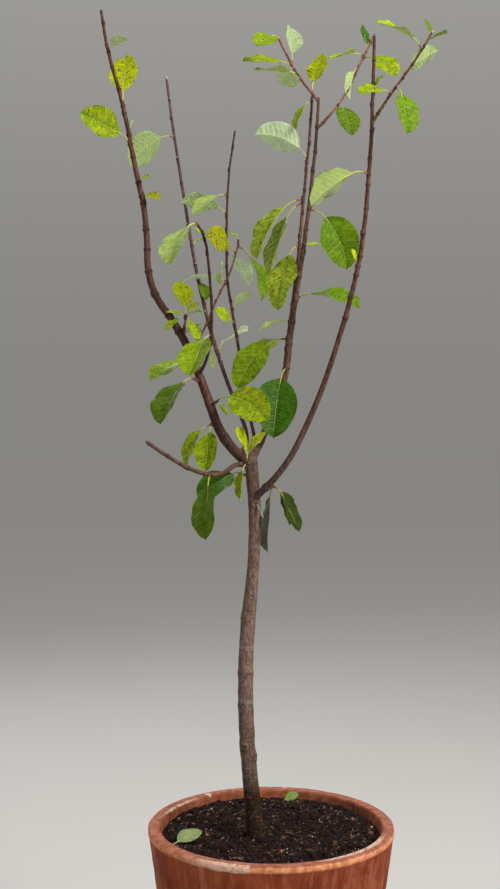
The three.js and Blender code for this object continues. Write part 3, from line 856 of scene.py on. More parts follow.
def leafFaceMaterial(name, tint):
    look = leafTints[tint]
    roughness, specks = look.get("roughness", 0.60), look["specks"]
    made, tree, shader = newMaterial(name, roughness, 0.06)
    place = placeOf(tree)
    mottle = between(tree, grain(tree, place, 10, 4, 0.65), 0.42, 0.58)
    colour = blend(tree, mottle, *look["face"])
    broken = between(tree, grain(tree, place, 7, 4, 0.65), 0.38, 0.62, 0.1, 1)
    colour = wash(tree, colour, look["byVein"], markOf(tree, "veinCloseness"), broken)
    fine = between(tree, grain(tree, place, 2.2, 2), 0.3, 0.7, 0.86, 1.12)
    colour = dimmed(tree, colour, fine)
    # dark dots in a few places, and scorched blotches
    dots = between(tree, cells(tree, place, 5.5), 0.30, 0.16)
    few = between(tree, grain(tree, place, 12, 2), specks - 0.14, specks - 0.09)
    colour = wash(tree, colour, scorchColour["dark"], dots, few)
    blotch = between(tree, grain(tree, place, 9, 3), specks + 0.01, specks + 0.07)
    colour = wash(tree, colour, scorchColour["light"], blotch, 0.85)
    gloss = between(tree, grain(tree, place, 5, 3), 0.3, 0.7, -0.07, 0.09)
    paint(tree, shader, colour, maths(tree, "ADD", gloss, roughness))
    net = cells(tree, place, 1.9, "DISTANCE_TO_EDGE")
    first = bump(tree, shader, between(tree, net, 0.0, 0.16), 0.2, 0.2)
    bump(tree, shader, grain(tree, place, 3.5, 3), 0.15, 0.4, first)
    letLightIn(shader, 0.25, (0.5, 0.8, 0.15))
    return made


def leafUnderMaterial(name, tint):
    under = leafTints[tint]["under"]
    made, tree, shader = newMaterial(name, 0.75, 0.1)
    place = placeOf(tree)
    cloud = between(tree, grain(tree, place, 9, 4), 0.35, 0.65)
    colour = blend(tree, cloud, scaled(under, 0.78), under)
    net = between(tree, cells(tree, place, 2.1, "DISTANCE_TO_EDGE"), 0.12, 0.02)
    close = times(tree, markOf(tree, "veinCloseness"), 0.35)
    veined = maths(tree, "MAXIMUM", close, times(tree, net, 0.5))
    paint(tree, shader, wash(tree, colour, scaled(under, 1.2, 0.02), veined))
    bump(tree, shader, net, 0.4, 0.25)
    shader.inputs["Sheen Weight"].default_value = 0.15
    shader.inputs["Sheen Roughness"].default_value = 0.6
    letLightIn(shader, 0.2, (0.5, 0.8, 0.2))
    return made


def mottledMaterial(name, low, high, size, roughness, bumpDistance=0.2):
    # a plain finish in two close colours, for veins, stalks, buds and small things
    made, tree, shader = newMaterial(name, roughness, 0.2)
    place = placeOf(tree)
    spread = grain(tree, place, size, 4, 0.6)
    paint(tree, shader, blend(tree, between(tree, spread, 0.35, 0.65), low, high))
    bump(tree, shader, spread, 0.4, bumpDistance)
    return made


def shadedMaterial(name, colour, darker, size, roughness):
    return mottledMaterial(name, scaled(colour, darker), colour, size, roughness)


scorched = mottledMaterial("leaf_scorched", scorchColour["dark"], scorchColour["light"], 3, 0.7)
stalkFoot = shadedMaterial("stalk_foot", stalkColour["foot"], 0.7, 5, 0.5)
leafMaterials = {}
for tint, look in leafTints.items():
    stalk = tuple((a + b) / 2 for a, b in zip(stalkColour["blade"], look["vein"]))
    underVein = scaled(look["under"], 1.35, 0.01)
    leafMaterials[tint] = {
        "top": leafFaceMaterial("leaf_" + tint, tint),
        "under": leafUnderMaterial("leaf_under_" + tint, tint),
        "vein": shadedMaterial("vein_" + tint, look["vein"], 0.8, 8, 0.5),
        "underVein": shadedMaterial("vein_under_" + tint, underVein, 0.85, 8, 0.6),
        "stalk": shadedMaterial("stalk_" + tint, stalk, 0.8, 12, 0.5),
        "scorched": scorched,
    }
print("leaf finishes made,", len(leafTints), "tints")


# Small late leaves at seeded buds, by the solids' own rule
buds = {"seed": 41, "spacing": 62, "firstShare": 0.3, "lastShare": 0.97, "lengths": (20, 40),
        "rises": (10, 60), "curl": 20, "roll": 30, "turnBetween": 137.5, "turnJitter": 50,
        "tints": ["lime", "lime", "yellow", "green", "olive", "lime", "pale"], "room": 2}


def bladePlaces(start, leaf):
    steps = leafForm["stalkSteps"] + np.arange(1, leafForm["bladeSteps"] + 1)
    points = readSpine(leafSpine(start, leaf), steps)[0]
    widths = np.maximum(bladeHalfWidth(np.arange(1, 6) / 5, leaf[5]), 0.7)
    return list(zip(points, widths + buds["room"]))


def claimedPlaces():
    # the limbs and the placed leaves, as points and how much room each takes
    claimed = []
    shares = np.linspace(0, 1, 61)
    for name in ["trunk", *limbs]:
        points = onPath(paths[name], shares)[0]
        claimed += list(zip(points, radiusOf(name, shares) + buds["room"]))
    for name, grown in {**limbs, **spurs}.items():
        for leaf in grown["leaves"]:
            claimed += bladePlaces(leafFoot(name, leaf), leaf)
    return claimed


def growBudLeaves():
    state = buds["seed"]

    def chance(low=0, high=1):
        nonlocal state
        state = (state * 16807) % 2147483647
        return low + (high - low) * (state / 2147483647)

    claimed = claimedPlaces()
    found = {name: [] for name in limbs}
    for name, limb in limbs.items():
        count = round((1 - limb["bare"]) * limb["length"] / buds["spacing"])
        first = max(limb["bare"], buds["firstShare"])
        heading = 360 * chance()
        for i in range(count):
            heading += buds["turnBetween"] + buds["turnJitter"] * (chance() - 0.5)
            share = first + (buds["lastShare"] - first) * (i + chance()) / count
            rise = chance(*buds["rises"])
            long = chance(*buds["lengths"])
            tint = buds["tints"][(i + len(name)) % len(buds["tints"])]
            roll = buds["roll"] * (chance() - 0.5)
            leaf = [share, heading, rise, buds["curl"], roll, long, tint]
            places = bladePlaces(leafFoot(name, leaf), leaf)
            spots = np.array([p for p, _ in claimed])
            rooms = np.array([r for _, r in claimed])
            if all((np.linalg.norm(spots - p, axis=1) > rooms + r).all() for p, r in places):
                claimed += places
                found[name].append(leaf)
    return found


budLeaves = growBudLeaves()
print("bud leaves kept,", sum(len(v) for v in budLeaves.values()))


# Bark. The tone of each limb is a mark on its corners, and so is how young the wood is.
barkLook = {
    "lichen": [((-20, -46, 773), 13), ((-26, -44, 724), 10), ((-36, -40, 760), 20),
               ((-14, -8, 700), 16), ((-40, -10, 640), 14)],
    "lichenColour": ((0.20, 0.21, 0.15), (0.33, 0.34, 0.28)),
    "flecks": [((-25, -42, 775), 4), ((-33, -40, 724), 4), ((-29, -41, 642), 5)],
    "fleckColour": (0.42, 0.41, 0.35),
    "algaeColour": (0.075, 0.095, 0.035), "algaeFrom": (660, 700), "algaeTo": (860, 820),
    "darkFootTop": 450, "darkFootFull": 398, "darkFootColour": (0.012, 0.005, 0.003),
    "ochre": (0.22, 0.10, 0.03),
    "russet": (0.21, 0.10, 0.055), "russetMiddle": 800, "russetReach": 60,
    "speckDark": (0.045, 0.028, 0.024), "speckPale": (0.26, 0.20, 0.185),
    # bands across the trunk: heights, half the width with its soft edge and without, and colour
    "bands": [{"heights": (802, 642, 557), "reach": (6, 2), "colour": "speckPale", "share": 0.6},
              {"heights": (598, 512, 701), "reach": (1.4, 0.5), "colour": "speckDark", "share": 1}],
    # what a limb's own tone is multiplied by
    "darker": (0.50, 0.47, 0.46), "lighter": (1.55, 1.5, 1.5), "pore": (2.4, 2.4, 2.4),
}


def barkMaterial():
    look = barkLook
    made, tree, shader = newMaterial("bark", 0.75, 0.12)
    place = placeOf(tree)
    height = addNode(tree, "ShaderNodeSeparateXYZ", {0: place}).outputs["Z"]
    facing = addNode(tree, "ShaderNodeNewGeometry").outputs["Normal"]
    leftward = addNode(tree, "ShaderNodeSeparateXYZ", {0: facing}).outputs["X"]
    youth = markOf(tree, "youth")
    age = maths(tree, "SUBTRACT", 1.0, youth)
    tone = markOf(tree, "tone", "Color")
    dark, light, pore = [blend(tree, 1.0, tone, look[key], "MULTIPLY")
                         for key in ("darker", "lighter", "pore")]
    streaks = grain(tree, stretched(tree, place, (1, 1, 0.38)), 4.5, 5, 0.65)
    colour = blend(tree, between(tree, streaks, 0.33, 0.68), dark, light)
    # the russet bark shows most where the old skin has flaked
    fromRusset = apart(tree, height, look["russetMiddle"] * mm)
    russetHere = measured(tree, fromRusset, look["russetReach"], 12, 0.15, 0.65)
    russet = between(tree, grain(tree, place, 24, 4), 0.46, 0.60)
    colour = wash(tree, colour, look["russet"], russet, russetHere, age)
    # fine dark and pale specks, as on old smooth bark
    darkSpecks = between(tree, grain(tree, place, 2.4, 3, 0.6), 0.47, 0.36)
    colour = wash(tree, colour, look["speckDark"], darkSpecks, age, 0.8)
    squat = stretched(tree, place, (1, 1, 1.7))
    paleSpecks = between(tree, grain(tree, squat, 3.0, 3, 0.6), 0.56, 0.66)
    colour = wash(tree, colour, look["speckPale"], paleSpecks, age, 0.75)
    # pale rings and dark cracks run across the trunk at a few heights
    waving = wandering(tree, place, height, 22, 3, 20)
    broken = between(tree, grain(tree, place, 5, 3), 0.42, 0.55)
    for band in look["bands"]:
        rings = [measured(tree, apart(tree, waving, level * mm), *band["reach"])
                 for level in band["heights"]]
        shares = (eitherOf(tree, rings), broken, age, band["share"])
        colour = wash(tree, colour, look[band["colour"]], *shares)
    # green algae on the shaded side, higher up
    algae = between(tree, grain(tree, place, 20, 4), 0.40, 0.58)
    shaded = between(tree, leftward, -0.1, -0.75)
    above, below = [measured(tree, height, *look[key]) for key in ("algaeFrom", "algaeTo")]
    colour = wash(tree, colour, look["algaeColour"], algae, shaded, above, below, age, 0.7)
    lichen = patches(tree, place, look["lichen"], 16, 9)
    speckled = between(tree, grain(tree, place, 3.5, 4), 0.48, 0.60)
    lichenColour = blend(tree, grain(tree, place, 5, 3), *look["lichenColour"])
    colour = wash(tree, colour, lichenColour, lichen, speckled, 0.6)
    flecks = patches(tree, place, look["flecks"], 5, 4)
    colour = wash(tree, colour, look["fleckColour"], flecks, 0.8)
    # pale breathing pores, wider than they are tall
    pores = between(tree, cells(tree, stretched(tree, place, (1, 1, 2.2)), 5.5), 0.2, 0.1)
    colour = wash(tree, colour, pore, pores, 0.45)
    # near black towards the foot, by the compost, with ochre grains washed on it
    darkFoot = measured(tree, wandering(tree, place, height, 18, 3, 70), look["darkFootTop"], look["darkFootFull"])
    darkFoot = times(tree, darkFoot, age)
    colour = wash(tree, colour, look["darkFootColour"], darkFoot, 0.92)
    grains = between(tree, grain(tree, place, 2.6, 2), 0.60, 0.68)
    colour = wash(tree, colour, look["ochre"], darkFoot, grains)
    paint(tree, shader, colour, between(tree, youth, 0.0, 1.0, 0.8, 0.5))
    first = bump(tree, shader, streaks, 0.5, 0.8)
    bump(tree, shader, grain(tree, place, 1.6, 3), 0.35, 0.35, first)
    return made


bark = barkMaterial()
budDark = mottledMaterial("bud_dark", (0.035, 0.016, 0.014), (0.12, 0.055, 0.04), 2, 0.6)
budPale = mottledMaterial("bud_pale", (0.20, 0.11, 0.10), (0.52, 0.42, 0.38), 2, 0.7)


# Trunk and boughs, joined into one skin so that the forks flow, then given the bark's relief
boughs = [name for name, limb in limbs.items() if "bough" in limb]
wood = {
    "voxel": 1.15, "smoothing": 5, "ringGap": 4, "trunkSides": 28, "boughSides": 20,
    "sink": 6, "domeSteps": 5,
    "overlap": 7,                       # how far a bough runs on inside its shoot
    "seed": 7, "poreArea": 120,
    # knots: height, heading, collar size and depth of the pit, on the trunk
    "knots": [(871, -78, 6.5, 1.3), (773, -55, 5.5, 0.9), (723, -85, 4.5, 0.7),
              (483, -115, 5.0, 1.7), (467, -25, 7.0, 0.3), (438, -75, 3.6, 1.0),
              (610, 60, 6.0, 1.1), (545, 150, 5.0, 0.9), (690, 185, 5.5, 0.8),
              (820, 110, 6.5, 1.2), (400, 80, 5.0, 0.8)],
    "rootLobes": (3, 40, 0.8, 20),      # how many, turned by, how proud, how tall
    # swellings: limb, millimetres along it, how proud and how long
    "swellings": [("right", 37, 1.5, 6), ("low_left", 26, 0.9, 3), ("left", 60, 0.9, 6),
                  ("back", 48, 0.8, 5), ("trunk", 263, 0.9, 7), ("left", 122, 0.7, 4)],
    # the trunk is darker towards its foot and again round the fork: heights and shades; so are
    # the boughs where they are old: youth and shade
    "footShade": ((380, 470, 540, 610), (0.6, 0.68, 0.8, 1.0)),
    "forkShade": ((830, 920), (1.0, 0.74)),
    "boughShade": ((0.35, 1.0), (0.66, 1.0)),
    "snag": {"height": 871, "heading": -72, "length": 25, "radii": (1.5, 0.9), "bend": 4,
             "droop": (0.42, -0.28, -0.86), "tone": (0.27, 0.24, 0.22)},
}


def addWood(piece, part, finish, tone, youth):
    addPart(piece, *part, finish, tone=tone, youth=[youth])


def woodTube(name, toShare):
    count = max(4, int(toShare * paths[name]["length"] / wood["ringGap"]))
    shares = np.linspace(0, toShare, count)
    return shares, *onPath(paths[name], shares), radiusOf(name, shares)


def woodBlank():
    # plain tubes that run into each other, the trunk's with a domed top
    piece = newPiece("wood_blank")
    _, points, tangents, radii = woodTube("trunk", 1)
    foot = points[0] - tangents[0] * wood["sink"]
    rounding = np.linspace(0.2, 0.97, wood["domeSteps"])
    dome = points[-1] + tangents[-1] * rounding[:, None] * radii[-1]
    points = np.vstack([foot, points, dome])
    tangents = np.vstack([tangents[0], tangents, np.repeat(tangents[-1:], len(dome), 0)])
    radii = np.concatenate([[radii[0] + 1.5], radii, radii[-1] * np.sqrt(1 - rounding ** 2)])
    addPart(piece, *tubePart(points, tangents, radii, wood["trunkSides"]), bark)
    for name in boughs:
        bare, length, overlap = limbs[name]["bare"], limbs[name]["length"], wood["overlap"]
        shares, points, tangents, radii = woodTube(name, bare + overlap / length)
        radii = radii * (1 - 0.3 * np.clip((shares - bare) * length / overlap, 0, 1))
        addPart(piece, *tubePart(points, tangents, radii, wood["boughSides"]), bark)
    mesh = bpy.data.meshes.new("wood_blank")
    mesh.from_pydata((np.vstack(piece["corners"]) * mm).tolist(), [], piece["faces"])
    return addObject("wood_blank", mesh)


def woodSkin():
    # the tubes as one skin: its corners, the way each faces, and its faces
    blank = woodBlank()
    remesh = blank.modifiers.new("skin", "REMESH")
    remesh.mode = "VOXEL"
    remesh.voxel_size = wood["voxel"] * mm
    smooth = blank.modifiers.new("flow", "SMOOTH")
    smooth.factor = 0.5
    smooth.iterations = wood["smoothing"]
    ready = blank.evaluated_get(bpy.context.evaluated_depsgraph_get())
    skin = bpy.data.meshes.new_from_object(ready)
    bpy.data.objects.remove(blank)
    corners, normals = np.zeros((2, len(skin.vertices) * 3))
    skin.vertices.foreach_get("co", corners)
    skin.vertices.foreach_get("normal", normals)
    faces = [tuple(face.vertices) for face in skin.polygons]
    bpy.data.meshes.remove(skin)
    return corners.reshape(-1, 3) / mm, normals.reshape(-1, 3), faces


def woodStations():
    # stations every few millimetres along each limb, for reading where a corner lies
    rows = []
    for name in ["trunk", *boughs]:
        onTrunk = name == "trunk"
        run = trunk if onTrunk else limbs[name]
        end = 1 if onTrunk else run["bare"] + 0.02
        shares = np.linspace(0, end, int(end * run["length"] / 3))
        youths = 0.25 * shares if onTrunk else 0.35 + 0.65 * np.minimum(1, shares / run["bare"])
        for row in zip(*onPath(paths[name], shares), radiusOf(name, shares), shares, youths):
            point, tangent, radius, share, youth = row
            rows.append({"point": point, "tangent": tangent, "radius": radius, "youth": youth,
                         "run": share * run["length"], "tone": run["tone"], "name": name})
    return {key: np.array([row[key] for row in rows]) for key in rows[0]}


def nearestStation(corners, stations):
    # for each corner, the station whose own surface it is nearest to
    tree = KDTree(len(stations["point"]))
    for i, point in enumerate(stations["point"]):
        tree.insert(point, i)
    tree.balance()
    radii = stations["radius"]
    return np.array([min(tree.find_n(corner, 8), key=lambda hit: hit[2] - radii[hit[1]])[1]
                     for corner in corners])


def woodTones(corners, near):
    # tones run into each other at the forks
    trunkTone = np.array(trunk["tone"])
    ownShare = np.clip(near["youth"] * 1.3, 0, 1)[:, None]
    tones = trunkTone + (near["tone"] - trunkTone) * ownShare
    heights = corners[:, 2]
    trunkShade = np.interp(heights, *wood["footShade"]) * np.interp(heights, *wood["forkShade"])
    boughShade = np.interp(near["youth"], *wood["boughShade"])
    return tones * np.where(near["name"] == "trunk", trunkShade, boughShade)[:, None]


def barkRelief(corners, near):
    lumps = np.array([noise.noise(Vector(c) / 17) for c in corners])
    ridges = np.array([noise.fractal(Vector((c[0] / 4, c[1] / 4, c[2] / 9)), 0.8, 2.0, 3)
                       for c in corners])
    bands = np.array([noise.noise(Vector((c[0] / 14, c[1] / 14, c[2] / 2.6))) for c in corners])
    ripe = np.clip(1 - near["youth"], 0.15, 1) * np.clip(near["radius"] / 9, 0.35, 1.2)
    relief = ripe * (0.75 * lumps + 0.34 * ridges + 0.12 * bands)
    # swollen rings where a shoot once stopped for the winter
    for name, run, proud, reach in wood["swellings"]:
        relief += (near["name"] == name) * proud * np.exp(-((near["run"] - run) / reach) ** 2)
    return relief


def poreRelief(corners, stations, rng):
    # breathing pores stand proud as short cross bars
    relief = np.zeros(len(corners))
    for name in ["trunk", *boughs]:
        own = np.flatnonzero(stations["name"] == name)
        area = 2 * math.pi * 3 * stations["radius"][own].sum()
        for _ in range(int(area / wood["poreArea"])):
            station = own[rng.integers(len(own))]
            tangent, radius = stations["tangent"][station], stations["radius"][station]
            outward = squareTo(tangent, rng.normal(size=3))
            away = corners - stations["point"][station] - outward * radius
            up = away @ tangent
            flat = np.linalg.norm(away - up[:, None] * tangent, axis=1)
            size = min(1, radius / 8)
            wide = rng.uniform(1.2, 2.4) * size
            relief += 0.4 * np.exp(-(up / 0.9) ** 2 - (flat / wide) ** 2) * size
    return relief


def trunkAt(height, heading):
    # the trunk's middle and radius at a height, and the way outward
    path = paths["trunk"]
    share = np.interp(height, path["points"][:, 2], path["shares"])
    return onPath(path, share)[0], trunkRadius(share), heads(90, heading)


def trunkRelief(corners, centres):
    # knots with their pits, and the lobes where the roots begin
    relief = np.zeros(len(corners))
    for height, heading, size, depth in wood["knots"]:
        middle, radius, outward = trunkAt(height, heading)
        away = np.linalg.norm(corners - middle - outward * radius, axis=1) / size
        relief += 1.5 * np.exp(-((away - 0.75) / 0.45) ** 2) * min(1, size / 6)
        relief -= (depth + 0.8) * np.exp(-(away / 0.42) ** 2)
    count, turned, proud, tall = wood["rootLobes"]
    spread = corners - centres
    angle = count * np.arctan2(spread[:, 1], spread[:, 0]) + math.radians(turned)
    low = np.exp(-np.maximum(corners[:, 2] - soilHigh.z, 0) / tall)
    return relief + low * proud * (0.5 + 0.5 * np.cos(angle))


def addSnag(piece, rng):
    # a dry twig's stub that hangs from the topmost knot
    snag = wood["snag"]
    middle, radius, outward = trunkAt(snag["height"], snag["heading"])
    share = np.linspace(0, 1, 9)[:, None]
    points = middle + outward * (radius - 1) + np.array(snag["droop"]) * snag["length"] * share
    points = points + outward * snag["bend"] * np.sin(share * 2)
    radii = np.linspace(*snag["radii"], 9) * rng.uniform(0.9, 1.1, 9)
    part = tubePart(points, unit(np.gradient(points, axis=0)), radii, 8)
    addWood(piece, part, bark, snag["tone"], 0.6)


def makeWood():
    rng = np.random.default_rng(wood["seed"])
    corners, normals, faces = woodSkin()
    stations = woodStations()
    nearest = nearestStation(corners, stations)
    near = {key: values[nearest] for key, values in stations.items()}
    relief = barkRelief(corners, near) + poreRelief(corners, stations, rng)
    relief += (near["name"] == "trunk") * trunkRelief(corners, near["point"])
    piece = newPiece("trunk_and_boughs")
    addPart(piece, corners + normals * relief[:, None], faces, bark,
            tone=woodTones(corners, near), youth=near["youth"][:, None])
    addSnag(piece, rng)
    finishPiece(piece, ["trunk"] + [limbs[name]["bough"] for name in boughs])


makeWood()
print("wood made")


# Shoots: the leafy part of each limb, with a swelling and a bud at every joint
shoots = {"sides": 12, "step": 2.0, "jointGap": 36, "jointSwell": 0.30, "jointReach": 2.0,
          "jointRoom": 11, "jointShade": 0.35, "zigzag": 0.5, "zigzagReach": 8, "knobbly": 0.05,
          "budLong": (4.0, 5.8), "budThick": 1.4, "budTone": 0.8, "seed": 19,
          "paleBuds": ("rear_left", "top_left", "right_side")}
spurWood = {"sides": 12, "youth": 0.7, "bud": (6.5, 2.4)}


def dropPart(base, axis, long, thick, sides=8):
    # a pointed drop, for buds
    ends = np.array([0, 0.1, 0.25, 0.45, 0.65, 0.82, 0.94, 1.0])
    swell = np.array([0.55, 0.85, 1.0, 0.97, 0.76, 0.48, 0.22, 0.06])
    points = base + axis * long * ends[:, None]
    return tubePart(points, np.repeat(axis[None], len(ends), 0), thick * swell, sides)


def shootJoints(name, limb, rng):
    # joints at the leaves, then more wherever there is room
    length = limb["length"]
    joints = [(leaf[0] * length, leaf[1]) for leaf in limb["leaves"] + budLeaves[name]]
    place = limb["bare"] * length + rng.uniform(12, 20)
    heading = rng.uniform(0, 360)
    while place < length - 8:
        if all(abs(place - other) > shoots["jointRoom"] for other, _ in joints):
            joints.append((place, heading))
        place += shoots["jointGap"] * rng.uniform(0.75, 1.25)
        heading += 137.5
    return sorted(joints)


def addShoot(piece, name, limb, rng):
    path, length = paths[name], limb["length"]
    joints = shootJoints(name, limb, rng)
    fromShare = max(limb["bare"] - 6 / length, 0)
    count = int((1 - fromShare) * length / shoots["step"])
    shares = np.linspace(fromShare, 1, count)
    points, tangents = onPath(path, shares)
    radii = limbRadius(limb, shares)
    run = shares * length
    swell = np.zeros(count)
    for place, heading in joints:
        swell += shoots["jointSwell"] * np.exp(-((run - place) / shoots["jointReach"]) ** 2)
        wide = np.exp(-((run - place) / shoots["zigzagReach"]) ** 2)
        points = points + wide[:, None] * shoots["zigzag"] * heads(90, heading)
    uneven = np.array([noise.noise(Vector(p) / 6) for p in points])
    radii = radii * (1 + swell + 0.04 * uneven)
    if limb["bare"]:
        radii *= np.interp(run, [run[0], limb["bare"] * length], [0.86, 1.0])
    knobs = np.array([[noise.noise(Vector((*p[:2] / 3, p[2] / 3 + 7 * side)))
                       for side in range(shoots["sides"])] for p in points])
    radii = radii[:, None] * (1 + shoots["knobbly"] * knobs)
    tone = np.array(limb["tone"])
    shade = 1.05 - shoots["jointShade"] * np.minimum(swell / shoots["jointSwell"], 1)
    tones = np.repeat(tone * shade[:, None], shoots["sides"], 0)
    addWood(piece, tubePart(points, tangents, radii, shoots["sides"]), bark, tones, 1.0)
    budFinish = budPale if name in shoots["paleBuds"] else budDark
    for place, heading in joints:
        addBud(piece, path, limb, place, heading, budFinish, rng)
    tip, axis = onPath(path, 1.0)
    size = limbRadius(limb, 1.0)
    addWood(piece, dropPart(tip - axis, axis, 3.4 * size, size * 1.12, 10), budFinish, tone, 1.0)


def addBud(piece, path, limb, place, heading, finish, rng):
    point, tangent = onPath(path, place / limb["length"])
    radius = float(limbRadius(limb, place / limb["length"]))
    outward = squareTo(tangent, heads(90, heading))
    long = rng.uniform(*shoots["budLong"]) * (0.8 + 0.1 * radius)
    thick = shoots["budThick"] * (0.75 + 0.12 * radius)
    # the leaf's foot is a small ledge under the bud
    ledge = dropPart(point + outward * radius * 0.6 - tangent * 2.2, unit(outward + tangent * 0.9),
                     2.6 + 0.3 * radius, thick * 1.15)
    axis = unit(tangent + outward * rng.uniform(0.25, 0.55))
    drop = dropPart(point + outward * (radius * 0.75) + tangent * 0.6, axis, long, thick)
    tone = scaled(limb["tone"], shoots["budTone"])
    addWood(piece, ledge, bark, tone, 0.8)
    addWood(piece, drop, finish, tone, 0.8)


def makeCrown(crown, rng):
    stems = newPiece(crown + "_shoots")
    leaves = newPiece(crown + "_leaves")
    for name, limb in limbs.items():
        if limb["crown"] != crown:
            continue
        addShoot(stems, name, limb, rng)
        for leaf in limb["leaves"]:
            addLeaf(leaves, leafFoot(name, leaf), leaf, rng)
        for leaf in budLeaves[name]:
            addLeaf(leaves, leafFoot(name, leaf), leaf, rng, main=False)
    finishPiece(stems, [crown])
    finishPiece(leaves, [crown], 70)


def makeSpur(name, spur, rng):
    stems = newPiece(name + "_wood")
    leaves = newPiece(name + "_leaves")
    parent = spur["from"][0]
    tone = trunk["tone"] if parent == "trunk" else limbs[parent]["tone"]
    shares = np.linspace(0, 1, 9)
    points, tangents = onPath(paths[name], shares)
    radii = spurRadius * (1 + 0.12 * np.sin(shares * 19)) * np.interp(shares, [0, 1], [1.15, 1])
    part = tubePart(points, tangents, radii, spurWood["sides"])
    addWood(stems, part, bark, tone, spurWood["youth"])
    part = dropPart(points[-1] - tangents[-1], tangents[-1], *spurWood["bud"], 10)
    addWood(stems, part, budDark, tone, spurWood["youth"])
    for leaf in spur["leaves"]:
        addLeaf(leaves, leafFoot(name, leaf), leaf, rng)
    finishPiece(stems, [name])
    finishPiece(leaves, [name], 70)


def makeCrowns():
    rng = np.random.default_rng(shoots["seed"])
    for crown in dict.fromkeys(limb["crown"] for limb in limbs.values()):
        makeCrown(crown, rng)
    for name, spur in spurs.items():
        makeSpur(name, spur, rng)


makeCrowns()
print("crowns made")


# The pot: hand-thrown look, a plain tapering wall under a rounded lip
pot = {
    "height": potHigh.z, "rim": potHigh.x, "foot": 151, "innerRim": 179.5, "innerFloor": 133,
    "floor": 27, "footBevel": 4, "lip": 11, "lipProud": 2.0, "lipBlend": 7, "rounding": 4.0,
    "segments": 180,
    "rowGap": 6, "uneven": 0.5, "throwing": 0.16,
    "backRise": 3.0,                     # the rim stands a little higher behind
    "chips": [(214, 348, 5, 1.2), (331, 349, 4, 1.0), (76, 349, 5, 1.3), (158, 340, 4, 0.8)],
}


def arc(middle, radius, fromTurn, toTurn, count=6):
    turns = np.radians(np.linspace(fromTurn, toTurn, count))
    return [(middle[0] + radius * math.cos(t), middle[1] + radius * math.sin(t)) for t in turns]


def potProfile():
    p = pot
    bodyTop = p["height"] - p["lip"]
    body = p["rim"] - p["lipProud"]
    r = p["rounding"]
    slope = (p["innerRim"] - p["innerFloor"]) / (p["height"] - p["floor"])

    def line(start, end):
        count = max(2, int(math.dist(start, end) / p["rowGap"]))
        shares = [k / count for k in range(1, count)]
        return [tuple(a + (b - a) * share for a, b in zip(start, end)) for share in shares]

    footIn = (4.0, 0.0)
    footOut = (p["foot"] - p["footBevel"], 0.0)
    wallLow = (p["foot"], p["footBevel"])
    wallTop = (body, bodyTop - p["lipBlend"] / 2)
    outline = [footIn, *line(footIn, footOut), footOut,
               (p["foot"] - 1.2, 1.1), wallLow, *line(wallLow, wallTop), wallTop]
    # the wall runs out into the lip in a soft step
    for k in range(1, 8):
        ease = (k / 7) ** 2 * (3 - 2 * k / 7)
        outline.append((body + p["lipProud"] * ease, wallTop[1] + p["lipBlend"] * k / 7))
    outline += arc((p["rim"] - r, p["height"] - r), r, 2, 90, 8)
    innerTop = p["innerRim"] + r
    outline += [(p["rim"] - 7, p["height"] + 0.0), (innerTop + 4, p["height"] - 0.1)]
    outline += arc((innerTop, p["height"] - r - 0.2), r, 90, 172, 7)
    wallIn = (p["innerRim"] - slope * 6, p["height"] - 6 - r)
    floorOut = (p["innerFloor"], p["floor"])
    floorIn = (4.0, p["floor"])
    outline += [wallIn, *line(wallIn, floorOut), floorOut, *line(floorOut, floorIn), floorIn]
    return np.array(outline)


potLook = {
    "wall": ((0.155, 0.023, 0.006), (0.275, 0.056, 0.018)),
    "smearDark": (0.105, 0.018, 0.007), "smearPale": (0.37, 0.12, 0.058),
    # pale bloom, which on the wall's sides is also painted sheen and light
    "bloomAndSheen": (0.40, 0.150, 0.080),
    "runs": (0.44, 0.22, 0.14),
    # the lip's outer band: colours of a painted highlight
    "lipHighlight": ((0.47, 0.165, 0.072), (0.72, 0.32, 0.17)),
    "rimTop": ((0.205, 0.058, 0.034), (0.31, 0.112, 0.078)),
    "inner": ((0.17, 0.046, 0.020), (0.27, 0.090, 0.045)),
    # lime smears along the rim: compass angles from and to, how far each end fades, and the
    # ring that a smear lies on (reach from the axis, height, half width)
    "limeSmears": [
        {"from": -136, "to": -99.5, "fadeIn": 26, "fadeOut": 1.2, "ring": (199, 345, 8)},
        {"from": -74, "to": -17, "fadeIn": 18, "fadeOut": 9, "ring": (183, 350, 8)},
        {"from": 128, "to": 172, "fadeIn": 18, "fadeOut": 18, "ring": (182, 350, 3)},
    ],
    "chalk": [((-108, 152, 351), 6), ((30, 190, 349), 6)],
    "chalkColour": (0.62, 0.48, 0.37),
    "stains": [((150, 96, 341), 8), ((90, 156, 340), 7), ((-172, -20, 340), 7)],
    "stainColour": (0.060, 0.024, 0.015),
    "dust": (0.11, 0.055, 0.032), "dustFrom": 60, "dustFull": 4,
    "crack": {"turn": 37, "wide": 0.5, "colour": (0.045, 0.018, 0.010)},
    "wallThickness": (15.5, 18.5),       # where the inner colours begin and are full
}


def limeSmear(tree, place, turn, reach, height, smear):
    # 1 along an arc of the rim, ragged at its sides
    start, end = math.radians(smear["from"]), math.radians(smear["to"])
    begins = between(tree, turn, start, start + math.radians(smear["fadeIn"]))
    stops = between(tree, turn, end, end - math.radians(smear["fadeOut"]))
    ringReach, ringHeight, wide = smear["ring"]
    out = maths(tree, "SUBTRACT", reach, ringReach * mm)
    up = maths(tree, "SUBTRACT", height, ringHeight * mm)
    away = wandering(tree, place, slant(tree, out, up), 16, 4, wide)
    return times(tree, begins, stops, measured(tree, away, wide, wide * 0.7))


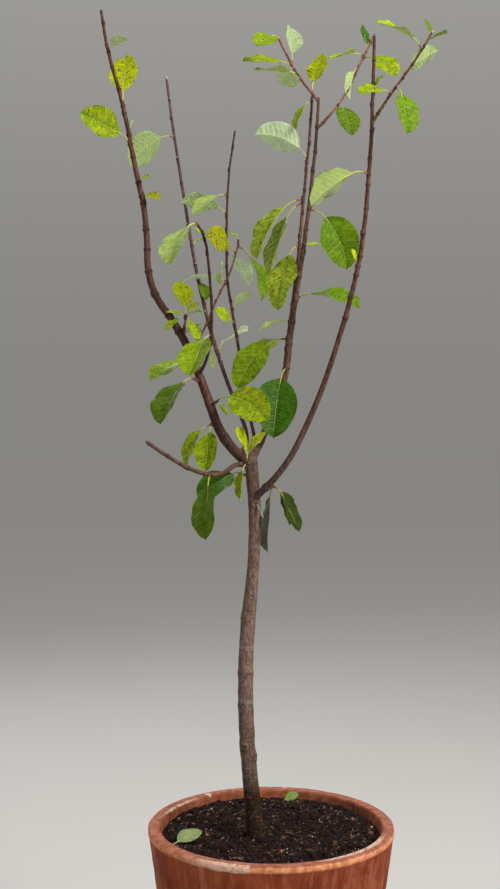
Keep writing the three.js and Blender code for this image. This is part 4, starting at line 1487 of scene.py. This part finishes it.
def terracottaMaterial():
    look = potLook
    made, tree, shader = newMaterial("terracotta", 0.85, 0.2)
    place = placeOf(tree)
    cloud = grain(tree, place, 90, 4, 0.6)
    colour = blend(tree, between(tree, cloud, 0.35, 0.65), *look["wall"])
    # brushed smears run up and down the wall
    smears = grain(tree, stretched(tree, place, (1, 1, 0.16)), 13, 4, 0.62)
    colour = wash(tree, colour, look["smearDark"], between(tree, smears, 0.44, 0.76, 0.0, 0.38))
    colour = wash(tree, colour, look["smearPale"], between(tree, smears, 0.50, 0.26, 0.0, 0.28))
    x, y, height = addNode(tree, "ShaderNodeSeparateXYZ", {0: place}).outputs
    turn = maths(tree, "ARCTAN2", y, x)
    reach = slant(tree, x, y)
    # a dull bloom lies on the clay in broad patches, least on the front; towards both sides it is
    # also painted sheen and light
    onRight = between(tree, turn, math.radians(-84), math.radians(-58), 0.12, 0.46)
    onLeft = between(tree, turn, math.radians(-98), math.radians(-122), 0.12, 0.46)
    bloomAndSheen = between(tree, grain(tree, place, 70, 3), 0.42, 0.60)
    brushed = between(tree, smears, 0.62, 0.42)
    colour = wash(tree, colour, look["bloomAndSheen"], bloomAndSheen, eitherOf(tree, [onRight, onLeft]), brushed)
    # dry pale runs down the wall
    runs = between(tree, grain(tree, stretched(tree, place, (1, 1, 0.07)), 8, 3, 0.5), 0.60, 0.70)
    colour = wash(tree, colour, look["runs"], runs, 0.20)
    # the lip's outer band carries a painted highlight, and the lip is duller on top
    mottle = between(tree, grain(tree, place, 11, 5, 0.65), 0.40, 0.62)
    lipHighlight, rimTop, inner = [blend(tree, mottle, *look[key])
                              for key in ("lipHighlight", "rimTop", "inner")]
    tall = pot["height"]
    colour = wash(tree, colour, lipHighlight, measured(tree, height, tall - pot["lip"] - 2, tall - 6), 0.9)
    colour = wash(tree, colour, rimTop, measured(tree, height, tall - 2.6, tall - 1.2), 0.85)
    # inside, the clay has its own colours, with a fine crack and damp stains under the rim
    taper = (pot["rim"] - pot["foot"]) / tall
    wallReach = maths(tree, "ADD", times(tree, height, taper), pot["foot"] * mm)
    inside = measured(tree, maths(tree, "SUBTRACT", wallReach, reach), *look["wallThickness"])
    colour = wash(tree, colour, inner, inside)
    crack = look["crack"]
    fromCrack = apart(tree, turn, math.radians(crack["turn"]))
    wide = math.radians(crack["wide"])
    colour = wash(tree, colour, crack["colour"], between(tree, fromCrack, wide, wide * 0.4), inside)
    # chalky lime smeared where water dried
    flakes = between(tree, grain(tree, place, 7, 5, 0.7), 0.34, 0.54)
    smeared = [limeSmear(tree, place, turn, reach, height, one) for one in look["limeSmears"]]
    chalk = eitherOf(tree, [patches(tree, place, look["chalk"], 22, 14), *smeared])
    colour = wash(tree, colour, look["chalkColour"], chalk, flakes, 0.85)
    stain = patches(tree, place, look["stains"], 16, 8)
    colour = wash(tree, colour, look["stainColour"], stain, 0.4)
    # soil dust clings by the foot
    foot = measured(tree, height, look["dustFrom"], look["dustFull"])
    dusty = between(tree, grain(tree, place, 26, 4), 0.42, 0.62)
    colour = wash(tree, colour, look["dust"], foot, dusty, 0.5)
    fine = between(tree, grain(tree, place, 1.6, 3), 0.25, 0.75, 0.88, 1.10)
    colour = dimmed(tree, colour, fine)
    paint(tree, shader, colour, between(tree, smears, 0.3, 0.7, 0.72, 0.92))
    first = bump(tree, shader, smears, 0.15, 0.5)
    second = bump(tree, shader, grain(tree, place, 1.2, 3), 0.3, 0.25, first)
    bump(tree, shader, grain(tree, place, 9, 4), 0.25, 0.7, second)
    return made


def makePot():
    outline = potProfile()
    turns = np.arange(pot["segments"]) * 2 * math.pi / pot["segments"]
    around = np.stack([np.cos(turns), np.sin(turns)], -1)
    corners = np.zeros((len(outline), pot["segments"], 3))
    corners[..., :2] = outline[:, None, :1] * around
    corners[..., 2] = outline[:, None, 1]
    flat = corners.reshape(-1, 3)
    for i, corner in enumerate(flat):
        point = Vector(corner)
        low = min(1, corner[2] / 12)
        reach = math.hypot(corner[0], corner[1])
        wobble = pot["uneven"] * noise.noise(point / 60) + 0.2 * noise.noise(point / 14)
        wobble += pot["throwing"] * math.sin(corner[2] / 4.6 + 1.5 * noise.noise(point / 90))
        scale = 1 + wobble * low / max(reach, 60) - 0.5 / max(reach, 60)
        top = 0.35 * noise.noise(point / 40) - 0.35 if corner[2] > pot["height"] - 12 else 0
        top += pot["backRise"] * max(0, corner[1] / pot["rim"]) * (corner[2] / pot["height"]) ** 3
        flat[i] = (corner[0] * scale, corner[1] * scale, corner[2] + top)
    for heading, height, size, depth in pot["chips"]:
        reach = pot["rim"] - 1
        middle = heads(90, heading) * reach + np.array([0, 0, height])
        away = np.linalg.norm(flat - middle, axis=1) / size
        inward = unit(np.stack([-flat[:, 0], -flat[:, 1], np.full(len(flat), -0.6 * reach)], -1))
        flat += inward * (depth * np.exp(-away ** 2))[:, None]
    count = pot["segments"]
    faces = gridFaces(len(outline), count, True)
    faces.append(tuple(range(count))[::-1])
    faces.append(tuple((len(outline) - 1) * count + j for j in range(count)))
    piece = newPiece("clay_pot")
    addPart(piece, flat, faces, terracottaMaterial())
    finishPiece(piece, ["pot"], 60)


makePot()
print("pot made")


# The compost: a crumbly bed with lumps, pale grit, fibres and chips lying on it
compost = {
    "top": soilHigh.z, "wall": 178.2, "wallDrop": 3, "bottom": 28, "bottomWall": 132.0,
    "ringGap": 2.3, "segments": 380, "seed": 23,
    "backRise": 6.5, "mound": 8.5, "moundReach": 24,      # higher behind, and at the trunk
    "clods": ((0.006, 0.003, 0.003), (0.020, 0.010, 0.009)),
    "russet": (0.075, 0.034, 0.026), "dust": (0.24, 0.15, 0.13),
    "fibres": 130, "fibreRadius": (0.25, 0.55), "fibreStep": (1.2, 3.4),
}
# what lies on the bed; each finish is its two colours, mottle size and roughness
litterFinishes = {
    "crumb_brown": ((0.022, 0.011, 0.009), (0.055, 0.026, 0.020), 2, 0.9),
    "crumb_russet": ((0.055, 0.022, 0.016), (0.13, 0.058, 0.042), 2, 0.9),
    "grit_pink": ((0.26, 0.14, 0.11), (0.44, 0.27, 0.21), 2, 0.75),
    "grit_white": ((0.38, 0.33, 0.29), (0.58, 0.53, 0.48), 2, 0.7),
    "chip_brown": ((0.05, 0.026, 0.016), (0.13, 0.065, 0.04), 4, 0.85),
    "chip_russet": ((0.12, 0.05, 0.03), (0.24, 0.12, 0.075), 4, 0.85),
    "clay_crumb": ((0.32, 0.12, 0.05), (0.45, 0.2, 0.1), 3, 0.85),
    "fibre_tan": ((0.16, 0.085, 0.045), (0.36, 0.21, 0.12), 6, 0.8),
    "fibre_brown": ((0.035, 0.02, 0.014), (0.10, 0.055, 0.035), 6, 0.85),
}
litter = [
    {"name": "crumbs_small", "finishes": ["compost"], "count": 5200, "sizes": (0.8, 2.8),
     "flatness": (0.6, 1.0)},
    {"name": "crumbs_brown", "finishes": ["crumb_brown", "crumb_russet"], "count": 1500,
     "sizes": (0.6, 1.8), "flatness": (0.5, 1.0), "sunk": 0.1},
    {"name": "crumbs_big", "finishes": ["compost"], "count": 300, "sizes": (3.0, 7.5),
     "flatness": (0.5, 0.9), "divisions": 2, "sunk": 0.35, "sharp": 40},
    {"name": "grit", "finishes": ["grit_white", "grit_pink", "grit_pink"], "count": 260,
     "sizes": (0.6, 1.7), "flatness": (0.6, 1.0), "sunk": 0.0},
    {"name": "chips", "finishes": ["chip_brown", "chip_russet"], "count": 260,
     "sizes": (1.4, 5.0), "flatness": (0.16, 0.3), "sunk": 0.3},
    {"name": "clay", "finishes": ["clay_crumb"], "count": 8, "sizes": (1.2, 3.4),
     "flatness": (0.5, 0.9), "sunk": 0.1},
]


def bedHeight(x, y):
    # the bed's height with its lumps, mounded a little at the trunk
    point = Vector((x, y, 0))
    reach = math.hypot(x, y)
    edge = max(0.0, (reach - 110) / (compost["wall"] - 110))
    lumps = 2.2 * noise.noise(point / 26) + 1.5 * noise.noise(point / 9 + Vector((5, 0, 0)))
    lumps += 1.0 * noise.noise(point / 3.6 + Vector((0, 9, 0)))
    lumps += 1.6 * abs(noise.noise(point / 6 + Vector((3, 3, 3))))
    away = math.hypot(x - trunk["start"][0], y - trunk["start"][1])
    lumps += compost["mound"] * math.exp(-(away / compost["moundReach"]) ** 2)
    lumps += compost["backRise"] * max(0, min(1, y / 150))
    return compost["top"] - 1.0 - compost["wallDrop"] * edge + lumps


def compostMaterial():
    made, tree, shader = newMaterial("compost", 0.95, 0.1)
    place = placeOf(tree)
    clods = between(tree, grain(tree, place, 6, 5, 0.65), 0.35, 0.68)
    colour = blend(tree, clods, *compost["clods"])
    russet = between(tree, grain(tree, place, 2.4, 3), 0.60, 0.70)
    colour = wash(tree, colour, compost["russet"], russet, 0.6)
    dust = between(tree, cells(tree, place, 3.0), 0.14, 0.07)
    few = between(tree, grain(tree, place, 10, 2), 0.58, 0.65)
    colour = wash(tree, colour, compost["dust"], dust, few)
    paint(tree, shader, colour, between(tree, clods, 0.2, 0.8, 0.70, 0.95))
    first = bump(tree, shader, grain(tree, place, 1.5, 4, 0.7), 0.8, 0.9)
    bump(tree, shader, grain(tree, place, 5, 4), 0.6, 1.4, first)
    return made


def makeBed(finish):
    rings = int(compost["wall"] / compost["ringGap"])
    count = compost["segments"]
    turns = np.arange(count) * 2 * math.pi / count
    corners = [(0.0, 0.0, bedHeight(0, 0))]
    for k in range(1, rings + 1):
        reach = compost["wall"] * k / rings
        for t in turns:
            x, y = reach * math.cos(t), reach * math.sin(t)
            corners.append((x, y, bedHeight(x, y)))
    for share in (0.03, 0.5, 1.0):
        reach = compost["wall"] + (compost["bottomWall"] - compost["wall"]) * share
        z = compost["top"] - 6 + (compost["bottom"] - compost["top"] + 6) * share
        corners += [(reach * math.cos(t), reach * math.sin(t), z) for t in turns]
    faces = [(0, 1 + j, 1 + (j + 1) % count) for j in range(count)]
    ringFaces = gridFaces(rings + 3, count, True)
    faces += [tuple(c + 1 for c in face[::-1]) for face in ringFaces]
    last = 1 + (rings + 2) * count
    faces.append(tuple(last + j for j in range(count))[::-1])
    piece = newPiece("compost_bed")
    addPart(piece, corners, faces, finish)
    finishPiece(piece, ["soil"], 80)


def crumbShape(divisions):
    shape = bmesh.new()
    bmesh.ops.create_icosphere(shape, subdivisions=divisions, radius=1)
    corners = np.array([v.co[:] for v in shape.verts])
    faces = [tuple(v.index for v in face.verts) for face in shape.faces]
    shape.free()
    return corners, faces


def bedSpot(rng, wall=174, clear=15):
    # a random place on the bed that isn't in the trunk
    while True:
        x, y = rng.uniform(-wall, wall, 2)
        away = math.hypot(x - trunk["start"][0], y - trunk["start"][1])
        if math.hypot(x, y) < wall and away > clear:
            return x, y


def turnedBy(corners, rng):
    # turns corners any way round
    axes = np.linalg.qr(rng.normal(size=(3, 3)))[0]
    if np.linalg.det(axes) < 0:
        axes[:, 0] *= -1
    return corners @ axes.T


def spunOnBed(corners, rng):
    # a flat crumb only spins and tilts a little
    turn = rng.uniform(0, 2 * math.pi)
    tilt = rng.normal(0, 0.25, 2)
    x = corners[:, 0] * math.cos(turn) - corners[:, 1] * math.sin(turn)
    y = corners[:, 0] * math.sin(turn) + corners[:, 1] * math.cos(turn)
    return np.stack([x, y, corners[:, 2] + x * tilt[0] + y * tilt[1]], -1)


def scatter(name, finishes, count, sizes, flatness, rng, divisions=1, sunk=0.25, sharp=25):
    piece = newPiece("compost_" + name)
    shape, faces = crumbShape(divisions)
    least, most = sizes
    for _ in range(count):
        size = least + (most - least) * rng.random() ** 2.5
        x, y = bedSpot(rng, 174 - size)
        stretch = np.array([rng.uniform(0.8, 1.3), rng.uniform(0.7, 1.1), rng.uniform(*flatness)])
        rough = shape * (1 + rng.uniform(-0.28, 0.28, (len(shape), 1)))
        corners = turnedBy(rough, rng) * stretch
        corners = turnedBy(corners, rng) if flatness[1] > 0.5 else spunOnBed(corners, rng)
        lift = size * (0.5 - sunk)
        corners = corners * size + np.array([x, y, bedHeight(x, y) + lift])
        addPart(piece, corners, faces, finishes[rng.integers(len(finishes))])
    finishPiece(piece, (), sharp)


def scatterFibres(rng, tan, brown):
    piece = newPiece("compost_fibres")
    for k in range(compost["fibres"]):
        x, y = bedSpot(rng, 160, 20)
        heading = rng.uniform(0, 2 * math.pi)
        bend = rng.normal(0, 0.05)
        step = rng.uniform(*compost["fibreStep"])
        points = []
        for i in range(12):
            points.append((x, y, bedHeight(x, y) + 1.3 + 1.2 * math.sin(i * 0.9 + k)))
            heading += bend + rng.normal(0, 0.12)
            x += step * math.cos(heading)
            y += step * math.sin(heading)
            if math.hypot(x, y) > 172:
                break
        if len(points) < 4:
            continue
        points = np.array(points)
        taper = np.interp(np.linspace(0, 1, len(points)), [0, 0.2, 1], [0.7, 1, 0.4])
        radii = rng.uniform(*compost["fibreRadius"]) * taper
        part = tubePart(points, unit(np.gradient(points, axis=0)), radii, 6)
        addPart(piece, *part, tan if rng.random() < 0.2 else brown)
    finishPiece(piece)


def makeCompost():
    rng = np.random.default_rng(compost["seed"])
    made = {"compost": compostMaterial()}
    for name, look in litterFinishes.items():
        made[name] = mottledMaterial(name, *look)
    makeBed(made["compost"])
    for kind in litter:
        finishes = [made[name] for name in kind["finishes"]]
        scatter(**{**kind, "finishes": finishes}, rng=rng)
    scatterFibres(rng, made["fibre_tan"], made["fibre_brown"])
    print("compost made")


makeCompost()


# Leaves that have dropped: one on the compost in front, one behind against the rim
fallen = [
    {"name": "fallen_leaf_front", "foot": (-161, -63, 333),
     "leaf": [0, 36, 20, 20, -22, 48, "faded", {"foldBy": 0.3, "wave": 0.3}]},
    {"name": "fallen_leaf_back", "foot": (20, 160, 336),
     "leaf": [0, 0, 30, 15, -60, 26, "sage", {"foldBy": 0.6, "wave": 0.5}]},
]


def makeFallenLeaves():
    rng = np.random.default_rng(5)
    for one in fallen:
        piece = newPiece(one["name"])
        addLeaf(piece, np.array(one["foot"], float), one["leaf"], rng, stalkLift=0)
        finishPiece(piece, (), 70)
    print("fallen leaves made")


makeFallenLeaves()


# A pale floor and soft studio light
studio = {
    "floorRadius": 50, "floorColour": (0.56, 0.56, 0.56),
    # the sky is dimmer at the horizon than overhead
    "sky": (1.0, 0.98, 0.93), "horizonStrength": 0.240, "overheadStrength": 0.45,
    "lamps": {
        "key": {"place": (1.9, -1.7, 2.6), "size": 1.2, "power": 128, "tint": (1.0, 0.95, 0.88)},
        "fill": {"place": (-1.8, -0.9, 3.0), "size": 2.0, "power": 17, "tint": (0.98, 0.98, 1.0)},
        "back": {"place": (-1.0, 2.0, 2.6), "size": 1.4, "power": 28, "tint": (1.0, 0.98, 0.94)},
    },
    "aim": (0, 0, 0.95),
}


def makeFloor():
    shape = bmesh.new()
    bmesh.ops.create_circle(shape, cap_ends=True, segments=96, radius=studio["floorRadius"])
    mesh = bpy.data.meshes.new("floor")
    shape.to_mesh(mesh)
    shape.free()
    made, tree, shader = newMaterial("floor", 0.85, 0.2)
    cloud = grain(tree, placeOf(tree), 400, 2)
    colour = studio["floorColour"]
    paint(tree, shader, blend(tree, cloud, scaled(colour, 0.97), colour))
    mesh.materials.append(made)
    floor = addObject("floor", mesh)
    floor.location.z = -0.0005


def makeLamps():
    for name, lamp in studio["lamps"].items():
        light = bpy.data.lights.new(name, "AREA")
        light.energy = lamp["power"]
        light.size = lamp["size"]
        light.color = lamp["tint"]
        holder = addObject(name, light)
        holder.location = lamp["place"]
        away = Vector(lamp["place"]) - Vector(studio["aim"])
        holder.rotation_euler = away.to_track_quat("Z", "Y").to_euler()


def makeSky():
    world = bpy.data.worlds.new("sky")
    world.use_nodes = True
    tree = world.node_tree
    sky = tree.nodes["Background"]
    sky.inputs["Color"].default_value = (*studio["sky"], 1)
    toSky = addNode(tree, "ShaderNodeTexCoord").outputs["Generated"]
    height = addNode(tree, "ShaderNodeSeparateXYZ", {0: toSky}).outputs["Z"]
    strength = between(tree, height, 0.0, 0.7, studio["horizonStrength"], studio["overheadStrength"])
    tree.links.new(strength, sky.inputs["Strength"])
    bpy.context.scene.world = world
    bpy.context.scene.view_settings.view_transform = "Standard"


makeFloor()
makeLamps()
makeSky()
print("studio made")
